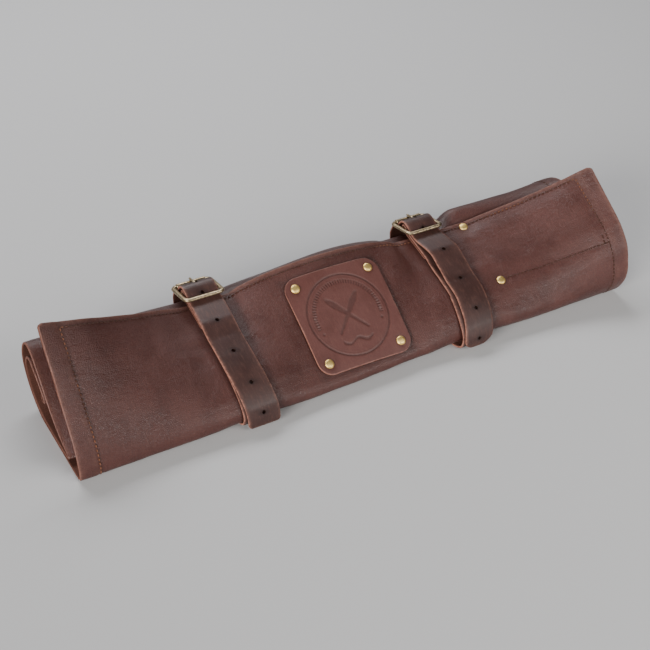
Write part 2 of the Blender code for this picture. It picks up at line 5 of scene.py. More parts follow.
import bpy
import numpy as np
from mathutils import Matrix, Vector, noise


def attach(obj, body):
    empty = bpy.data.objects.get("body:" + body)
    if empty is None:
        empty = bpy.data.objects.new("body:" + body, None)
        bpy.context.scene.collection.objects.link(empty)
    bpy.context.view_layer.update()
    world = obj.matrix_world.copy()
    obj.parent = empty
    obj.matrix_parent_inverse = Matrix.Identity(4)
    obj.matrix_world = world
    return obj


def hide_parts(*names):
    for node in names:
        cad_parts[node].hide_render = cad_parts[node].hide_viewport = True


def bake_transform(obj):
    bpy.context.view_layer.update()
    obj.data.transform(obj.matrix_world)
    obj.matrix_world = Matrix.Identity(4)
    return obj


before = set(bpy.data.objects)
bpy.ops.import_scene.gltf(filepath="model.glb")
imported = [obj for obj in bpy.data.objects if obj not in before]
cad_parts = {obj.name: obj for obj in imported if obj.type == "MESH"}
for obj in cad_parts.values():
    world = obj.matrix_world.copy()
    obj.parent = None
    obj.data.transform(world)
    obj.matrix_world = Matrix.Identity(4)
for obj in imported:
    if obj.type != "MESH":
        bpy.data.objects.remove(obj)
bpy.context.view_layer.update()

MM = 0.001
MIDDLE_Y = 50.1  # the section's y halfway between front and back, moved to the origin

# --- leather and metal sizes, millimetres -----------------------------------------------------
HALF_LENGTH = 232.0
COVER_T = 2.0
PANEL_T = 1.2
STRAP_T = 2.0
SKIVED_T = 1.3
STRAP_W = 25.0
FIT = 0.35
STRAP_X = {"left": -100.5, "right": 91.5}

FRAME_R = 1.3
FRAME_HALF_W = 14.9
FRONT_BAR = (75.4, 61.5)
FRAME_LENGTH = 26.0
FRAME_FALL = math.radians(7.6)
FRAME_DIR = (math.cos(FRAME_FALL), -math.sin(FRAME_FALL))
CENTRE_BAR = (FRONT_BAR[0] + FRAME_DIR[0] * FRAME_LENGTH / 2, FRONT_BAR[1] + FRAME_DIR[1] * FRAME_LENGTH / 2)
REAR_BAR = (FRONT_BAR[0] + FRAME_DIR[0] * FRAME_LENGTH, FRONT_BAR[1] + FRAME_DIR[1] * FRAME_LENGTH)
ROLLER_IN, ROLLER_OUT = 1.6, 2.2
ROLLER_LENGTH = 23.0

PATCH_X = -5.5
PATCH_SIDE = 79.0
PATCH_TOP = 12.5
PATCH_T = 2.0
PATCH_CORNER = 11.0
PATCH_GAP = 0.35
RIVET_INSET = 8.5

POCKET_X0, POCKET_X1 = 120.5, 222.0
POCKET_TOP, POCKET_BOTTOM = 1.0, 68.0
POCKET_SEAM = 63.5  # down the flap, from its rivet to the end seam
POCKET_RIVETS = ((128.5, 4.8), (127.5, 63.5))

HEM = {"left": 14.5, "right": 12.5}  # end seams, in from the cut ends
TOP_SEAM = 4.2  # below the free edge
FLAP_END = 112.0  # arc length from the free edge to the bottom front corner

# --- the rolled section (y, z), outermost turn first ------------------------------------------
LEFT_END = [
    (45.6, 100.3), (37.2, 86), (27.3, 70.4), (14.6, 49), (5.5, 31), (1.8, 18), (1.0, 8), (4.5, 1.9),
    (24, 1.0), (48, 1.0), (72, 1.3), (89, 9), (100, 22), (103, 36), (98.5, 48), (91, 56),
    (83, 58.5), (74, 53.5), (62, 40), (49, 24.5), (36, 13), (26, 8.4), (22.5, 5.9), (30, 4.2),
    (52, 4.2), (72, 5.2), (86, 12.5), (95, 24), (96.5, 34.5), (92, 42.5), (85, 45.5), (76, 40),
    (68, 33.5), (62, 28),
]
AT_STRAP = [
    (81, 52.9), (64, 47.8), (45, 41.4), (29, 35.4), (15.5, 28.8), (4.5, 19.8), (-0.8, 11), (4, 4.1),
    (25, 3.5), (50, 3.5), (78, 3.7), (95, 8.5), (104.5, 18), (107, 30), (103.5, 40.5), (97, 46.2),
    (89, 48), (79, 46.2), (62, 41), (46, 35.9), (19.5, 24.4), (9.2, 16.2), (5.6, 10.6), (12, 7.2),
    (40, 6.8), (72, 7.2), (88, 11.5), (97.5, 20), (99.5, 29.5), (95.5, 37.5), (87.5, 41.2),
    (78, 39.6), (69, 36.4), (60, 32.4),
]
MIDDLE = [
    (74.3, 68.2), (60.7, 58.6), (45, 46.9), (31, 35.4), (17, 23.6), (6, 14.6), (0, 8), (4.5, 2.9),
    (25, 2.2), (50, 2.2), (79, 2.5), (96.5, 8), (107, 19.0), (109.5, 33), (105, 45.5),
    (96.5, 54.5), (86, 58.6), (76.5, 57.2), (62.5, 49.8), (46.5, 38.3), (24.5, 21.6), (12.5, 12.6),
    (7.8, 8.8), (13, 6.2), (40, 5.8), (73, 6.2), (89.5, 11), (100, 21), (102.3, 33), (98, 43),
    (89, 49.6), (79.5, 49.5), (70, 45), (61, 39),
]
RIGHT_END = [
    (49.2, 93.2), (36, 83.2), (20, 71.4), (5, 59.5), (-5, 44), (-9, 26), (-5, 11.5), (4, 2.1),
    (26, 1.0), (52, 1.0), (80, 1.3), (98, 8), (108.5, 21), (111, 38), (106.5, 53), (97, 62.5),
    (85, 66), (72, 64.5), (55, 59.5), (36, 52), (16, 40), (5, 25), (4.5, 11), (12, 4.6),
    (42, 4.2), (75, 5), (91, 12), (102, 23), (104.5, 37), (100, 50), (90.5, 57.5), (79, 58),
    (69, 54.5), (60, 50),
]
STRAP_ZONES = ((-118.0, -84.0), (68.0, 110.0))
FORWARD = 5.0  # how far the front bottom corner comes forward on the left
FORWARD_ZONE = (-84.0, 68.0)  # along the roll, where that eases away
FORWARD_SHARE = {3: 0.2, 4: 0.5, 5: 0.8, 6: 1.0, 7: 0.9, 8: 0.4, 20: 0.45, 21: 0.75, 22: 0.85, 23: 0.6}
SOFTEN = 12.0  # over which the leather eases away from a strap
CURL_R, CURL_TURN, CURL_STEPS = 3.0, 250.0, 14
CORNER_R = 3.6  # of the cover's free corners


# --- curves -----------------------------------------------------------------------------------
def ease(low, high, v):
    t = np.clip((np.asarray(v, float) - low) / (high - low), 0.0, 1.0)
    return t * t * (3 - 2 * t)


def on_spline(points, u):
    """Catmull-Rom through points, u counted in points."""
    last = len(points) - 1
    i = min(int(u), last - 1)
    t = u - i
    p0, p1, p2 = points[max(i - 1, 0)], points[i], points[i + 1]
    p3 = points[min(i + 2, last)]
    return tuple(
        0.5 * (2 * b + (c - a) * t + (2 * a - 5 * b + 4 * c - d) * t * t + (3 * b - a - 3 * c + d) * t**3)
        for a, b, c, d in zip(p0, p1, p2, p3)
    )


def blend(a, b, flap, rest, floor):
    """Points between a and b, weighed apart for the flap, the turns inside it and the underside."""
    half = (flap + rest) / 2
    weights = [flap] * 6 + [(flap + floor) / 2] + [floor] * 4 + [rest] * 5 + [half] + [flap] * 6
    weights += [floor] * 3 + [rest] * 4 + [half] + [flap] * 4
    return [(p[0] * (1 - k) + q[0] * k, p[1] * (1 - k) + q[1] * k) for p, q, k in zip(a, b, weights)]


def plain_section(x):
    """Control points of the roll at x: raised free corners, pinched at the straps, full between."""
    (l0, l1), (r0, r1) = STRAP_ZONES
    if x < l0:
        t = (l0 - x) / (HALF_LENGTH + l0)
        soft = float(ease(0, SOFTEN, l0 - x))
        return blend(AT_STRAP, LEFT_END, t**1.1, t, t**0.35 * soft)
    if x > r1:
        t = (x - r1) / (HALF_LENGTH - r1)
        soft = float(ease(0, SOFTEN, x - r1))
        rest = 0.66 * float(ease(0, 22, x - r1)) + 0.16 * float(ease(190, HALF_LENGTH, x))
        return blend(AT_STRAP, RIGHT_END, t**1.9, rest, t**0.35 * soft)
    if l1 < x < r0:
        near = 1 - abs(x - (l1 + r0) / 2) / ((r0 - l1) / 2)
        w = (1 - (1 - near) ** 2.4) * float(ease(0, SOFTEN, min(x - l1, r0 - x)))
        return blend(AT_STRAP, MIDDLE, w, w * (0.6 + 0.55 * float(ease(-50, 35, x))), w)
    return list(AT_STRAP)


def section(x):
    """Control points of the roll at x, its front bottom corner let forward on the left."""
    by = FORWARD * (1 - float(ease(FORWARD_ZONE[0], FORWARD_ZONE[1], x)))
    return [(y - by * FORWARD_SHARE.get(i, 0.0), z) for i, (y, z) in enumerate(plain_section(x))]


def curled(points):
    """The path ended by a small rolled edge turning into the core."""
    (y0, z0), (y1, z1) = points[-2], points[-1]
    size = math.hypot(y1 - y0, z1 - z0)
    dy, dz = (y1 - y0) / size, (z1 - z0) / size
    cy, cz = y1 - dz * CURL_R, z1 + dy * CURL_R
    out = list(points)
    for k in range(1, CURL_STEPS + 1):
        a = math.radians(CURL_TURN) * k / CURL_STEPS
        out.append((cy + CURL_R * (dz * math.cos(a) + dy * math.sin(a)),
                    cz + CURL_R * (-dy * math.cos(a) + dz * math.sin(a))))
    return out


def rim_steps(low, high, step):
    """Even steps with close ones at both ends, for the worn rounding of a cut edge."""
    inner = np.linspace(low, high, max(2, int(round((high - low) / step)) + 1))
    rim = np.array([0, 0.15, 0.45, 0.9])
    return np.concatenate([low + rim, inner[1:-1], high - rim[::-1]])


def turn_steps():
    """Where along the spline the cover is sampled: about three millimetres apart."""
    steps = [0.0, 0.01, 0.03, 0.06, 0.13]
    for i in range(len(AT_STRAP) - 1):
        run = max(math.dist(c[i], c[i + 1]) for c in (AT_STRAP, LEFT_END, RIGHT_END))
        count = max(3, math.ceil(run / 2.8))
        steps += [i + k / count for k in range(count) if i + k / count > 0.15]
    return steps + [len(AT_STRAP) - 1.0]


def normals_of(grid):
    along = np.gradient(grid, axis=0)
    down = np.gradient(grid, axis=1)
    out = np.cross(down, along)
    return out / np.maximum(np.linalg.norm(out, axis=2, keepdims=True), 1e-9)


def lengths_of(grid):
    steps = np.linalg.norm(np.diff(grid, axis=1), axis=2)
    return np.concatenate([np.zeros((len(grid), 1)), np.cumsum(steps, axis=1)], axis=1)


def ripple(a, b, seed):
    """Smooth noise of two grids of numbers, about -1 to 1."""
    flat = [noise.noise(Vector((p, q, seed))) for p, q in zip(np.ravel(a), np.ravel(b))]
    return np.array(flat).reshape(np.shape(a)) * 1.6


# --- the cover's shape ------------------------------------------------------------------------
ROWS = rim_steps(-HALF_LENGTH, HALF_LENGTH, 2.9)
TURN = turn_steps()


def rounded_off(path, x):
    """The path with its first run shortened, so that the free edge turns its corner in an arc."""
    into = max(0.0, CORNER_R - (HALF_LENGTH - abs(x)))
    cut = CORNER_R - math.sqrt(max(0.0, CORNER_R**2 - into**2))
    path = np.array(path)
    run = np.concatenate([[0], np.cumsum(np.linalg.norm(np.diff(path, axis=0), axis=1))])
    moved = np.where(run < 14.0, cut + run * (1 - cut / 14.0), run)
    return np.stack([np.interp(moved, run, path[:, c]) for c in (0, 1)], axis=1)


def rolled_grid():
    rows = []
    for x in ROWS:
        points = section(x)
        lowest = min(points[8][1], points[9][1])
        path = [on_spline(points, u) for u in TURN]
        path = rounded_off(curled([(y, max(z, lowest)) for y, z in path]), x)
        rows.append([(x, y, z) for y, z in path])
    return np.array(rows)


def clear_of(x, s):
    """1 where the flap is free to ripple, 0 under the patch, the straps and the rivets."""
    free = np.ones_like(x)
    for side in STRAP_X.values():
        free *= ease(15.0, 34.0, np.abs(x - side))
    half = PATCH_SIDE / 2
    out_x = np.abs(x - PATCH_X) - half
    out_s = np.abs(s - PATCH_TOP - half) - half
    free *= ease(1.5, 14.0, np.maximum(out_x, out_s))
    for rx, rs in POCKET_RIVETS:
        free *= ease(4.0, 14.0, np.hypot(x - rx, s - rs))
    return free


def hem_distance(x):
    """Distance from the nearer end seam, towards the cut end negative."""
    return np.where(x < 0, x + HALF_LENGTH - HEM["left"], HALF_LENGTH - HEM["right"] - x)


def relief(x, s):
    """How far the leather stands off its smooth section, all through and on the grain side only."""
    on_flap = 1 - ease(FLAP_END - 22.0, FLAP_END, s)
    free = clear_of(x, s)
    hem = hem_distance(x)
    through = np.zeros_like(x)
    # slack leather between the fixings
    slack = 0.75 * ripple(x / 46.0, s / 34.0, 2.0) + 0.5 * ripple(x / 19.0, s / 30.0, 5.0) + 0.55
    through += on_flap * free * slack
    # folds pulled towards the straps
    for side in STRAP_X.values():
        near = np.exp(-(((np.abs(x - side) - 26.0) / 15.0) ** 2))
        through += on_flap * near * 0.5 * np.maximum(0, ripple(x / 40.0, s / 8.0, 9.0 + side))
    # accessory pocket pushes the flap out between its seams
    pocket = ease(126.0, 140.0, x) * (1 - ease(212.0, 219.0, x))
    pocket = pocket * ease(5.0, 16.0, s) * (1 - ease(50.0, 63.0, s))
    through += 1.1 * pocket
    through += 0.8 * np.exp(-(((s - 72.0) / 7.0) ** 2)) * ease(112.0, 150.0, x)
    # turns inside lie closer together, so they ripple less
    through += (1 - on_flap) * 0.16 * ripple(x / 30.0, s / 26.0, 11.0)
    # the seams' thread gathers the leather
    gather = np.exp(-((hem / 5.0) ** 2))
    through += np.where(s < FLAP_END, 0.22, 0.08) * gather * ripple(x / 9.0, s / 3.6, 17.0)
    grain = 0.3 * (1 - ease(-1.6, 0.2, hem)) * ease(-13.0, -8.0, hem)
    grain += -0.34 * np.exp(-((hem / 1.1) ** 2))
    grain += -0.3 * np.exp(-(((s - TOP_SEAM) / 1.0) ** 2)) * ease(-1.0, 1.0, hem)
    grain += 0.16 * (1 - ease(TOP_SEAM - 1.4, TOP_SEAM - 0.4, s))
    seam = np.exp(-(((s - POCKET_SEAM) / 0.9) ** 2)) * ease(129.0, 132.0, x) * ease(0.0, 2.0, hem)
    grain += -0.4 * seam
    grain += 0.1 * ripple(x / 2.6, s / 7.0, 23.0) * on_flap
    # dimples where the rivets pull the leather in
    for rx, rs in POCKET_RIVETS:
        grain += -0.45 * np.exp(-((np.hypot(x - rx, s - rs) / 4.6) ** 2))
    return through, grain


smooth_grid = rolled_grid()
smooth_len = lengths_of(smooth_grid)
smooth_out = normals_of(smooth_grid)
grid_x = smooth_grid[:, :, 0]
raised, grain_side = relief(grid_x, smooth_len)
cover_grid = smooth_grid + normals_of(smooth_grid) * raised[:, :, None]
cover_grid[:, :, 2] = np.maximum(cover_grid[:, :, 2], np.minimum(smooth_grid[:, :, 2], COVER_T / 2 + 0.05))
cover_len = lengths_of(cover_grid)
cover_out = normals_of(cover_grid)


def spot(x, s, off=0.0, grid=cover_grid, out=cover_out, run=cover_len):
    """Place and outward direction on the cover, s down from the free edge."""
    i = int(np.clip(np.searchsorted(ROWS, x) - 1, 0, len(ROWS) - 2))
    t = (x - ROWS[i]) / (ROWS[i + 1] - ROWS[i])
    place, normal = np.zeros(3), np.zeros(3)
    for row, share in ((i, 1 - t), (i + 1, t)):
        for k in range(3):
            place[k] += share * np.interp(s, run[row], grid[row, :, k])
            normal[k] += share * np.interp(s, run[row], out[row, :, k])
    normal /= np.linalg.norm(normal)
    return place + normal * off, normal


def level_spot(x, s, off=0.0):
    """The same on the smooth section, for pieces whose shape doesn't follow the ripples."""
    return spot(x, s, off, smooth_grid, smooth_out, smooth_len)


# --- shader building --------------------------------------------------------------------------
def put(tree, kind, values=None, **settings):
    """A shader node; values go to its inputs by name or number, sockets are linked."""
    node = tree.nodes.new("ShaderNode" + kind)
    for key, value in settings.items():
        setattr(node, key, value)
    for key, value in (values or {}).items():
        if isinstance(value, bpy.types.NodeSocket):
            tree.links.new(value, node.inputs[key])
        else:
            node.inputs[key].default_value = value
    return node


def maths(tree, operation, a, b=0.0, clamp=False):
    return put(tree, "Math", {0: a, 1: b}, operation=operation, use_clamp=clamp).outputs[0]


def spread(tree, value, low, high, out_low=0.0, out_high=1.0):
    """value mapped smoothly from low..high to out_low..out_high."""
    node = put(tree, "MapRange", {"Value": value, "From Min": low, "From Max": high,
                                  "To Min": out_low, "To Max": out_high}, interpolation_type="SMOOTHSTEP")
    return node.outputs["Result"]


def tint(tree, share, a, b, kind="MIX"):
    node = put(tree, "Mix", {0: share}, data_type="RGBA", blend_type=kind, clamp_factor=True)
    for index, value in ((6, a), (7, b)):
        if isinstance(value, bpy.types.NodeSocket):
            tree.links.new(value, node.inputs[index])
        else:
            node.inputs[index].default_value = (*value, 1.0)
    return node.outputs[2]


def mark(tree, name, output="Fac"):
    """A number or place stored on the mesh by its maker."""
    return put(tree, "Attribute", attribute_name=name, attribute_type="GEOMETRY").outputs[output]


def clouds(tree, place, scale, detail=3.0, rough=0.55, output="Fac"):
    node = put(tree, "TexNoise", {"Vector": place, "Scale": scale, "Detail": detail, "Roughness": rough})
    return node.outputs[output]


def stretched(tree, place, factors):
    return put(tree, "VectorMath", {0: place, 1: factors}, operation="MULTIPLY").outputs[0]


def group_of(name, inputs, outputs):
    tree = bpy.data.node_groups.new(name, "ShaderNodeTree")
    for title, kind, value in inputs:
        socket = tree.interface.new_socket(title, in_out="INPUT", socket_type=kind)
        if value is not None:
            socket.default_value = value
    for title, kind in outputs:
        tree.interface.new_socket(title, in_out="OUTPUT", socket_type=kind)
    return tree, tree.nodes.new("NodeGroupInput"), tree.nodes.new("NodeGroupOutput")


NUMBER, VECTOR = "NodeSocketFloat", "NodeSocketVector"


def build_grain():
    """Pebbled hide: pebbles, the creases that run down the hide, pores and slow clouds of colour."""
    tree, given, made = group_of(
        "hide grain",
        [("Place", VECTOR, None), ("Pebble", NUMBER, 1.2), ("Crease", NUMBER, 0.5)],
        [("Height", NUMBER), ("Valley", NUMBER), ("Crease", NUMBER), ("Clouds", NUMBER)],
    )
    place = given.outputs["Place"]
    waver = put(tree, "VectorMath", {0: clouds(tree, place, 0.35, 2.0, output="Color"), 1: (1.4, 1.4, 1.4)},
                operation="MULTIPLY").outputs[0]
    bent = put(tree, "VectorMath", {0: place, 1: waver}, operation="ADD").outputs[0]
    size = maths(tree, "DIVIDE", 1.0, given.outputs["Pebble"])
    cells = put(tree, "VectorMath", {0: bent, "Scale": size}, operation="SCALE").outputs[0]
    edges = put(tree, "TexVoronoi", {"Vector": cells, "Scale": 1.0, "Randomness": 0.95},
                feature="DISTANCE_TO_EDGE").outputs["Distance"]
    pebble = spread(tree, edges, 0.0, 0.28)
    crease = clouds(tree, stretched(tree, bent, (0.85, 0.14, 0.85)), 1.0, 4.0, 0.6)
    pores = clouds(tree, place, 4.5, 2.0)
    height = maths(tree, "MULTIPLY", pebble, 0.42)
    height = maths(tree, "ADD", height, maths(tree, "MULTIPLY", crease, given.outputs["Crease"]))
    height = maths(tree, "ADD", height, maths(tree, "MULTIPLY", pores, 0.12))
    wrinkle = clouds(tree, stretched(tree, bent, (0.09, 0.24, 0.09)), 1.0, 4.0, 0.6)
    wrinkle_share = maths(tree, "MULTIPLY", given.outputs["Crease"], 3.2)
    height = maths(tree, "ADD", height, maths(tree, "MULTIPLY", wrinkle, wrinkle_share))
    slow = clouds(tree, place, 0.028, 5.0, 0.62)
    for value, title in ((height, "Height"), (maths(tree, "SUBTRACT", 1.0, pebble), "Valley"),
                         (crease, "Crease"), (slow, "Clouds")):
        tree.links.new(value, made.inputs[title])
    return tree


def build_edge_wear():
    """Where handling has rubbed the finish: strongest at an edge, broken up by noise."""
    tree, given, made = group_of(
        "rubbed edge",
        [("Place", VECTOR, None), ("Edge", NUMBER, 0.0), ("Amount", NUMBER, 1.0)],
        [("Wear", NUMBER)],
    )
    broken = spread(tree, clouds(tree, given.outputs["Place"], 0.45, 5.0, 0.7), 0.35, 0.62, 0.25, 1.0)
    near = maths(tree, "POWER", given.outputs["Edge"], 1.6)
    wear = maths(tree, "MULTIPLY", maths(tree, "MULTIPLY", near, broken), given.outputs["Amount"], clamp=True)
    tree.links.new(wear, made.inputs["Wear"])
    return tree


def build_dust_and_shade():
    """Painted shade, partly dust, in the low places that the maker marked; and slow smudges of tone."""
    tree, given, made = group_of(
        "gathered dust and painted shade",
        [("Place", VECTOR, None), ("Hollow", NUMBER, 0.0)],
        [("ShadeAndDust", NUMBER), ("Smudge", NUMBER)],
    )
    broken = spread(tree, clouds(tree, given.outputs["Place"], 0.3, 4.0, 0.6), 0.3, 0.7, 0.6, 1.0)
    # first output: painted shade, partly dust, where the hollow mark lies, broken up by noise
    tree.links.new(maths(tree, "MULTIPLY", given.outputs["Hollow"], broken, clamp=True), made.inputs["ShadeAndDust"])
    smudge = spread(tree, clouds(tree, given.outputs["Place"], 0.07, 3.0, 0.5), 0.4, 0.7)
    tree.links.new(smudge, made.inputs["Smudge"])
    return tree


def build_patina():
    """Old brass: dark oxide clouds, fine scratches and rubbed bright spots."""
    tree, given, made = group_of(
        "brass patina",
        [("Place", VECTOR, None), ("Rub", NUMBER, 0.0)],
        [("Oxide", NUMBER), ("Scratch", NUMBER), ("Height", NUMBER)],
    )
    place = given.outputs["Place"]
    oxide = spread(tree, clouds(tree, place, 0.42, 6.0, 0.66), 0.36, 0.64)
    oxide = maths(tree, "SUBTRACT", oxide, given.outputs["Rub"], clamp=True)
    scratch = spread(tree, clouds(tree, stretched(tree, place, (1.0, 1.6, 1.6)), 1.1, 5.0, 0.75), 0.56, 0.72)
    dents = clouds(tree, place, 0.9, 3.0, 0.5)
    tree.links.new(oxide, made.inputs["Oxide"])
    tree.links.new(scratch, made.inputs["Scratch"])
    tree.links.new(maths(tree, "ADD", dents, maths(tree, "MULTIPLY", scratch, -0.3)), made.inputs["Height"])
    return tree


GRAIN, EDGE_WEAR, DUST_AND_SHADE, PATINA = build_grain(), build_edge_wear(), build_dust_and_shade(), build_patina()


def use(tree, group, **values):
    node = tree.nodes.new("ShaderNodeGroup")
    node.node_tree = group
    for key, value in values.items():
        if isinstance(value, bpy.types.NodeSocket):
            tree.links.new(value, node.inputs[key])
        else:
            node.inputs[key].default_value = value
    return node.outputs


def finish_named(name, **constants):
    """A material with its shader; constants are set on the shader's own sockets."""
    made = bpy.data.materials.new(name)
    made.use_nodes = True
    tree = made.node_tree
    shader = tree.nodes["Principled BSDF"]
    for key, value in constants.items():
        shader.inputs[key.replace("_", " ")].default_value = value
    return made, tree, shader


def bumped(tree, shader, height, depth, strength=1.0):
    bump = put(tree, "Bump", {"Height": height, "Distance": depth * MM, "Strength": strength})
    tree.links.new(bump.outputs["Normal"], shader.inputs["Normal"])


def hide_finish(name, deep, light, rubbed, pebble, crease, rough, depth, **constants):
    """Finished leather: deep and light are the two dye tones, rubbed is where the finish has worn."""
    made, tree, shader = finish_named(name, **constants)
    place = mark(tree, "hide", "Vector")
    grain = use(tree, GRAIN, Place=place, Pebble=pebble, Crease=crease)
    wear = use(tree, EDGE_WEAR, Place=place, Edge=mark(tree, "edge"), Amount=1.0)["Wear"]
    dust_and_shade = use(tree, DUST_AND_SHADE, Place=place, Hollow=mark(tree, "hollow"))
    colour = tint(tree, spread(tree, grain["Clouds"], 0.34, 0.66), deep, light)
    colour = tint(tree, spread(tree, grain["Crease"], 0.45, 0.75, 0.0, 0.14), colour, rubbed)
    colour = tint(tree, maths(tree, "MULTIPLY", grain["Valley"], 0.45), colour, tuple(c * 0.45 for c in deep))
    colour = tint(tree, maths(tree, "MULTIPLY", dust_and_shade["Smudge"], 0.22), colour, light)
    colour = tint(tree, wear, colour, rubbed)
    # painted shade, partly dust: darkened towards a third of the deep tone where the hollow mark lies
    colour = tint(tree, maths(tree, "MULTIPLY", dust_and_shade["ShadeAndDust"], 0.85), colour, tuple(c * 0.3 for c in deep))
    tree.links.new(colour, shader.inputs["Base Color"])
    gloss = spread(tree, grain["Clouds"], 0.3, 0.7, rough - 0.06, rough + 0.06)
    gloss = maths(tree, "ADD", gloss, maths(tree, "MULTIPLY", grain["Valley"], 0.12))
    gloss = maths(tree, "ADD", gloss, maths(tree, "MULTIPLY", wear, 0.15), clamp=True)
    tree.links.new(gloss, shader.inputs["Roughness"])
    bumped(tree, shader, grain["Height"], depth, 0.9)
    return made


def fibre_finish(name, pale, dark, depth):
    """Cut edges and the flesh side: matt fibres without a grain."""
    made, tree, shader = finish_named(name, Specular_IOR_Level=0.08)
    place = mark(tree, "hide", "Vector")
    fibres = clouds(tree, place, 1.3, 6.0, 0.75)
    fuzz = clouds(tree, place, 0.11, 3.0, 0.55)
    colour = tint(tree, spread(tree, fibres, 0.35, 0.65), dark, pale)
    colour = tint(tree, spread(tree, fuzz, 0.35, 0.7, 0.0, 0.5), colour, dark)
    tree.links.new(colour, shader.inputs["Base Color"])
    tree.links.new(spread(tree, fibres, 0.3, 0.7, 0.72, 0.95), shader.inputs["Roughness"])
    bumped(tree, shader, fibres, depth, 0.8)
    return made


def thread_finish(name, dark, light):
    """Waxed thread, twisted: slanting plies along each stitch."""
    made, tree, shader = finish_named(name, Specular_IOR_Level=0.4)
    place = mark(tree, "ply", "Vector")
    plies = put(tree, "TexWave", {"Vector": place, "Scale": 1.6, "Distortion": 0.6}, wave_type="BANDS",
                bands_direction="DIAGONAL").outputs["Fac"]
    worn = mark(tree, "edge")
    middling = tuple(0.4 * a + 0.6 * b for a, b in zip(dark, light))
    colour = tint(tree, maths(tree, "MULTIPLY", plies, 0.6), dark, middling)
    colour = tint(tree, worn, colour, light)
    # painted shade: darkened where the thread sinks into the holes
    colour = tint(tree, mark(tree, "hollow"), colour, tuple(c * 0.3 for c in dark))
    tree.links.new(colour, shader.inputs["Base Color"])
    tree.links.new(spread(tree, plies, 0.0, 1.0, 0.6, 0.45), shader.inputs["Roughness"])
    bumped(tree, shader, plies, 0.08)
    return made


def metal_finish(name, bright, oxide, rough, amount):
    made, tree, shader = finish_named(name, Metallic=1.0)
    place = mark(tree, "hide", "Vector")
    coat = use(tree, PATINA, Place=place, Rub=mark(tree, "edge"))
    low = maths(tree, "MULTIPLY", mark(tree, "hollow"), 0.9)
    share = maths(tree, "MAXIMUM", maths(tree, "MULTIPLY", coat["Oxide"], amount), low, clamp=True)
    colour = tint(tree, share, bright, oxide)
    fresh = tuple(min(1, c * 1.3) for c in bright)
    colour = tint(tree, maths(tree, "MULTIPLY", coat["Scratch"], 0.3), colour, fresh)
    tree.links.new(colour, shader.inputs["Base Color"])
    gloss = maths(tree, "ADD", spread(tree, share, 0.0, 1.0, rough, rough + 0.28),
                  maths(tree, "MULTIPLY", coat["Scratch"], 0.08), clamp=True)
    tree.links.new(gloss, shader.inputs["Roughness"])
    bumped(tree, shader, coat["Height"], 0.12, 0.7)
    return made


COVER_HIDE = hide_finish(
    "oiled cover hide", pebble=1.15, crease=0.55, rough=0.36, depth=0.26,
    deep=(0.074, 0.0225, 0.0178), light=(0.106, 0.0350, 0.0280), rubbed=(0.260, 0.1150, 0.0830),
    Specular_IOR_Level=0.55,
)
PATCH_HIDE = hide_finish(
    "smooth patch hide", pebble=0.7, crease=0.25, rough=0.38, depth=0.07,
    deep=(0.118, 0.0400, 0.0330), light=(0.150, 0.0540, 0.0450), rubbed=(0.380, 0.1800, 0.1400),
    Specular_IOR_Level=0.5,
)
STRAP_HIDE = hide_finish(
    "bridle strap hide", pebble=0.55, crease=0.05, rough=0.38, depth=0.06,
    deep=(0.046, 0.0185, 0.0155), light=(0.072, 0.0310, 0.0260), rubbed=(0.420, 0.1900, 0.1350),
    Specular_IOR_Level=0.5,
)
LINING_HIDE = hide_finish(
    "split lining hide", pebble=0.8, crease=0.4, rough=0.8, depth=0.12,
    deep=(0.100, 0.0420, 0.0290), light=(0.150, 0.0640, 0.0450), rubbed=(0.240, 0.1200, 0.0850),
    Specular_IOR_Level=0.12,
)
CUT_EDGE = fibre_finish("cut hide edge", (0.520, 0.2500, 0.1850), (0.250, 0.1000, 0.0720), 0.15)
COVER_EDGE = fibre_finish("waxed cover edge", (0.250, 0.1150, 0.0830), (0.120, 0.0500, 0.0370), 0.12)
FLESH = fibre_finish("flesh side", (0.160, 0.0680, 0.0490), (0.080, 0.0330, 0.0240), 0.2)
# painted shade: hole walls made near black instead of the cut edge's tan fibres
PUNCHED_SHADE = fibre_finish("punched hole wall in painted shade", (0.050, 0.0220, 0.0160), (0.020, 0.0090, 0.0070), 0.1)
THREAD = thread_finish("waxed brown thread", (0.030, 0.0105, 0.0075), (0.340, 0.1350, 0.0700))
BRASS = metal_finish("bright brass", (1.00, 0.72, 0.26), (0.78, 0.50, 0.15), 0.46, 0.30)
OLD_BRASS = metal_finish("antique brass", (0.52, 0.41, 0.26), (0.150, 0.112, 0.070), 0.30, 0.75)


# --- mesh building ----------------------------------------------------------------------------
def to_frame(points):
    """Millimetres of the section to metres of the frame."""
    return (np.asarray(points, float).reshape(-1, 3) - (0.0, MIDDLE_Y, 0.0)) * MM


def build(name, verts, faces, looks, marks, looks_of=None, crease=38.0):
    """A mesh from millimetre points; looks are its materials and marks its numbers for the shaders."""
    mesh = bpy.data.meshes.new(name)
    mesh.from_pydata(to_frame(verts).tolist(), [], [list(map(int, f)) for f in faces])
    for look in looks:
        mesh.materials.append(look)
    if looks_of is not None:
        mesh.polygons.foreach_set("material_index", np.asarray(looks_of, int))
    mesh.polygons.foreach_set("use_smooth", [True] * len(mesh.polygons))
    piece = bpy.data.objects.new(name, mesh)
    bpy.context.scene.collection.objects.link(piece)
    store(piece, marks)
    mesh.update()
    mesh.set_sharp_from_angle(angle=math.radians(crease))
    return piece


def store(piece, marks):
    mesh = piece.data
    for name, values in marks.items():
        values = np.asarray(values, float)
        flat = values.ndim == 1
        layer = mesh.attributes.get(name)
        layer = layer or mesh.attributes.new(name, "FLOAT" if flat else "FLOAT_VECTOR", "POINT")
        layer.data.foreach_set("value" if flat else "vector", values.ravel().astype(np.float32))


def kept(piece, body, nodes):
    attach(piece, body)
    if nodes:
        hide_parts(*nodes)
        piece.name = nodes[0] + "_finished"
    return piece


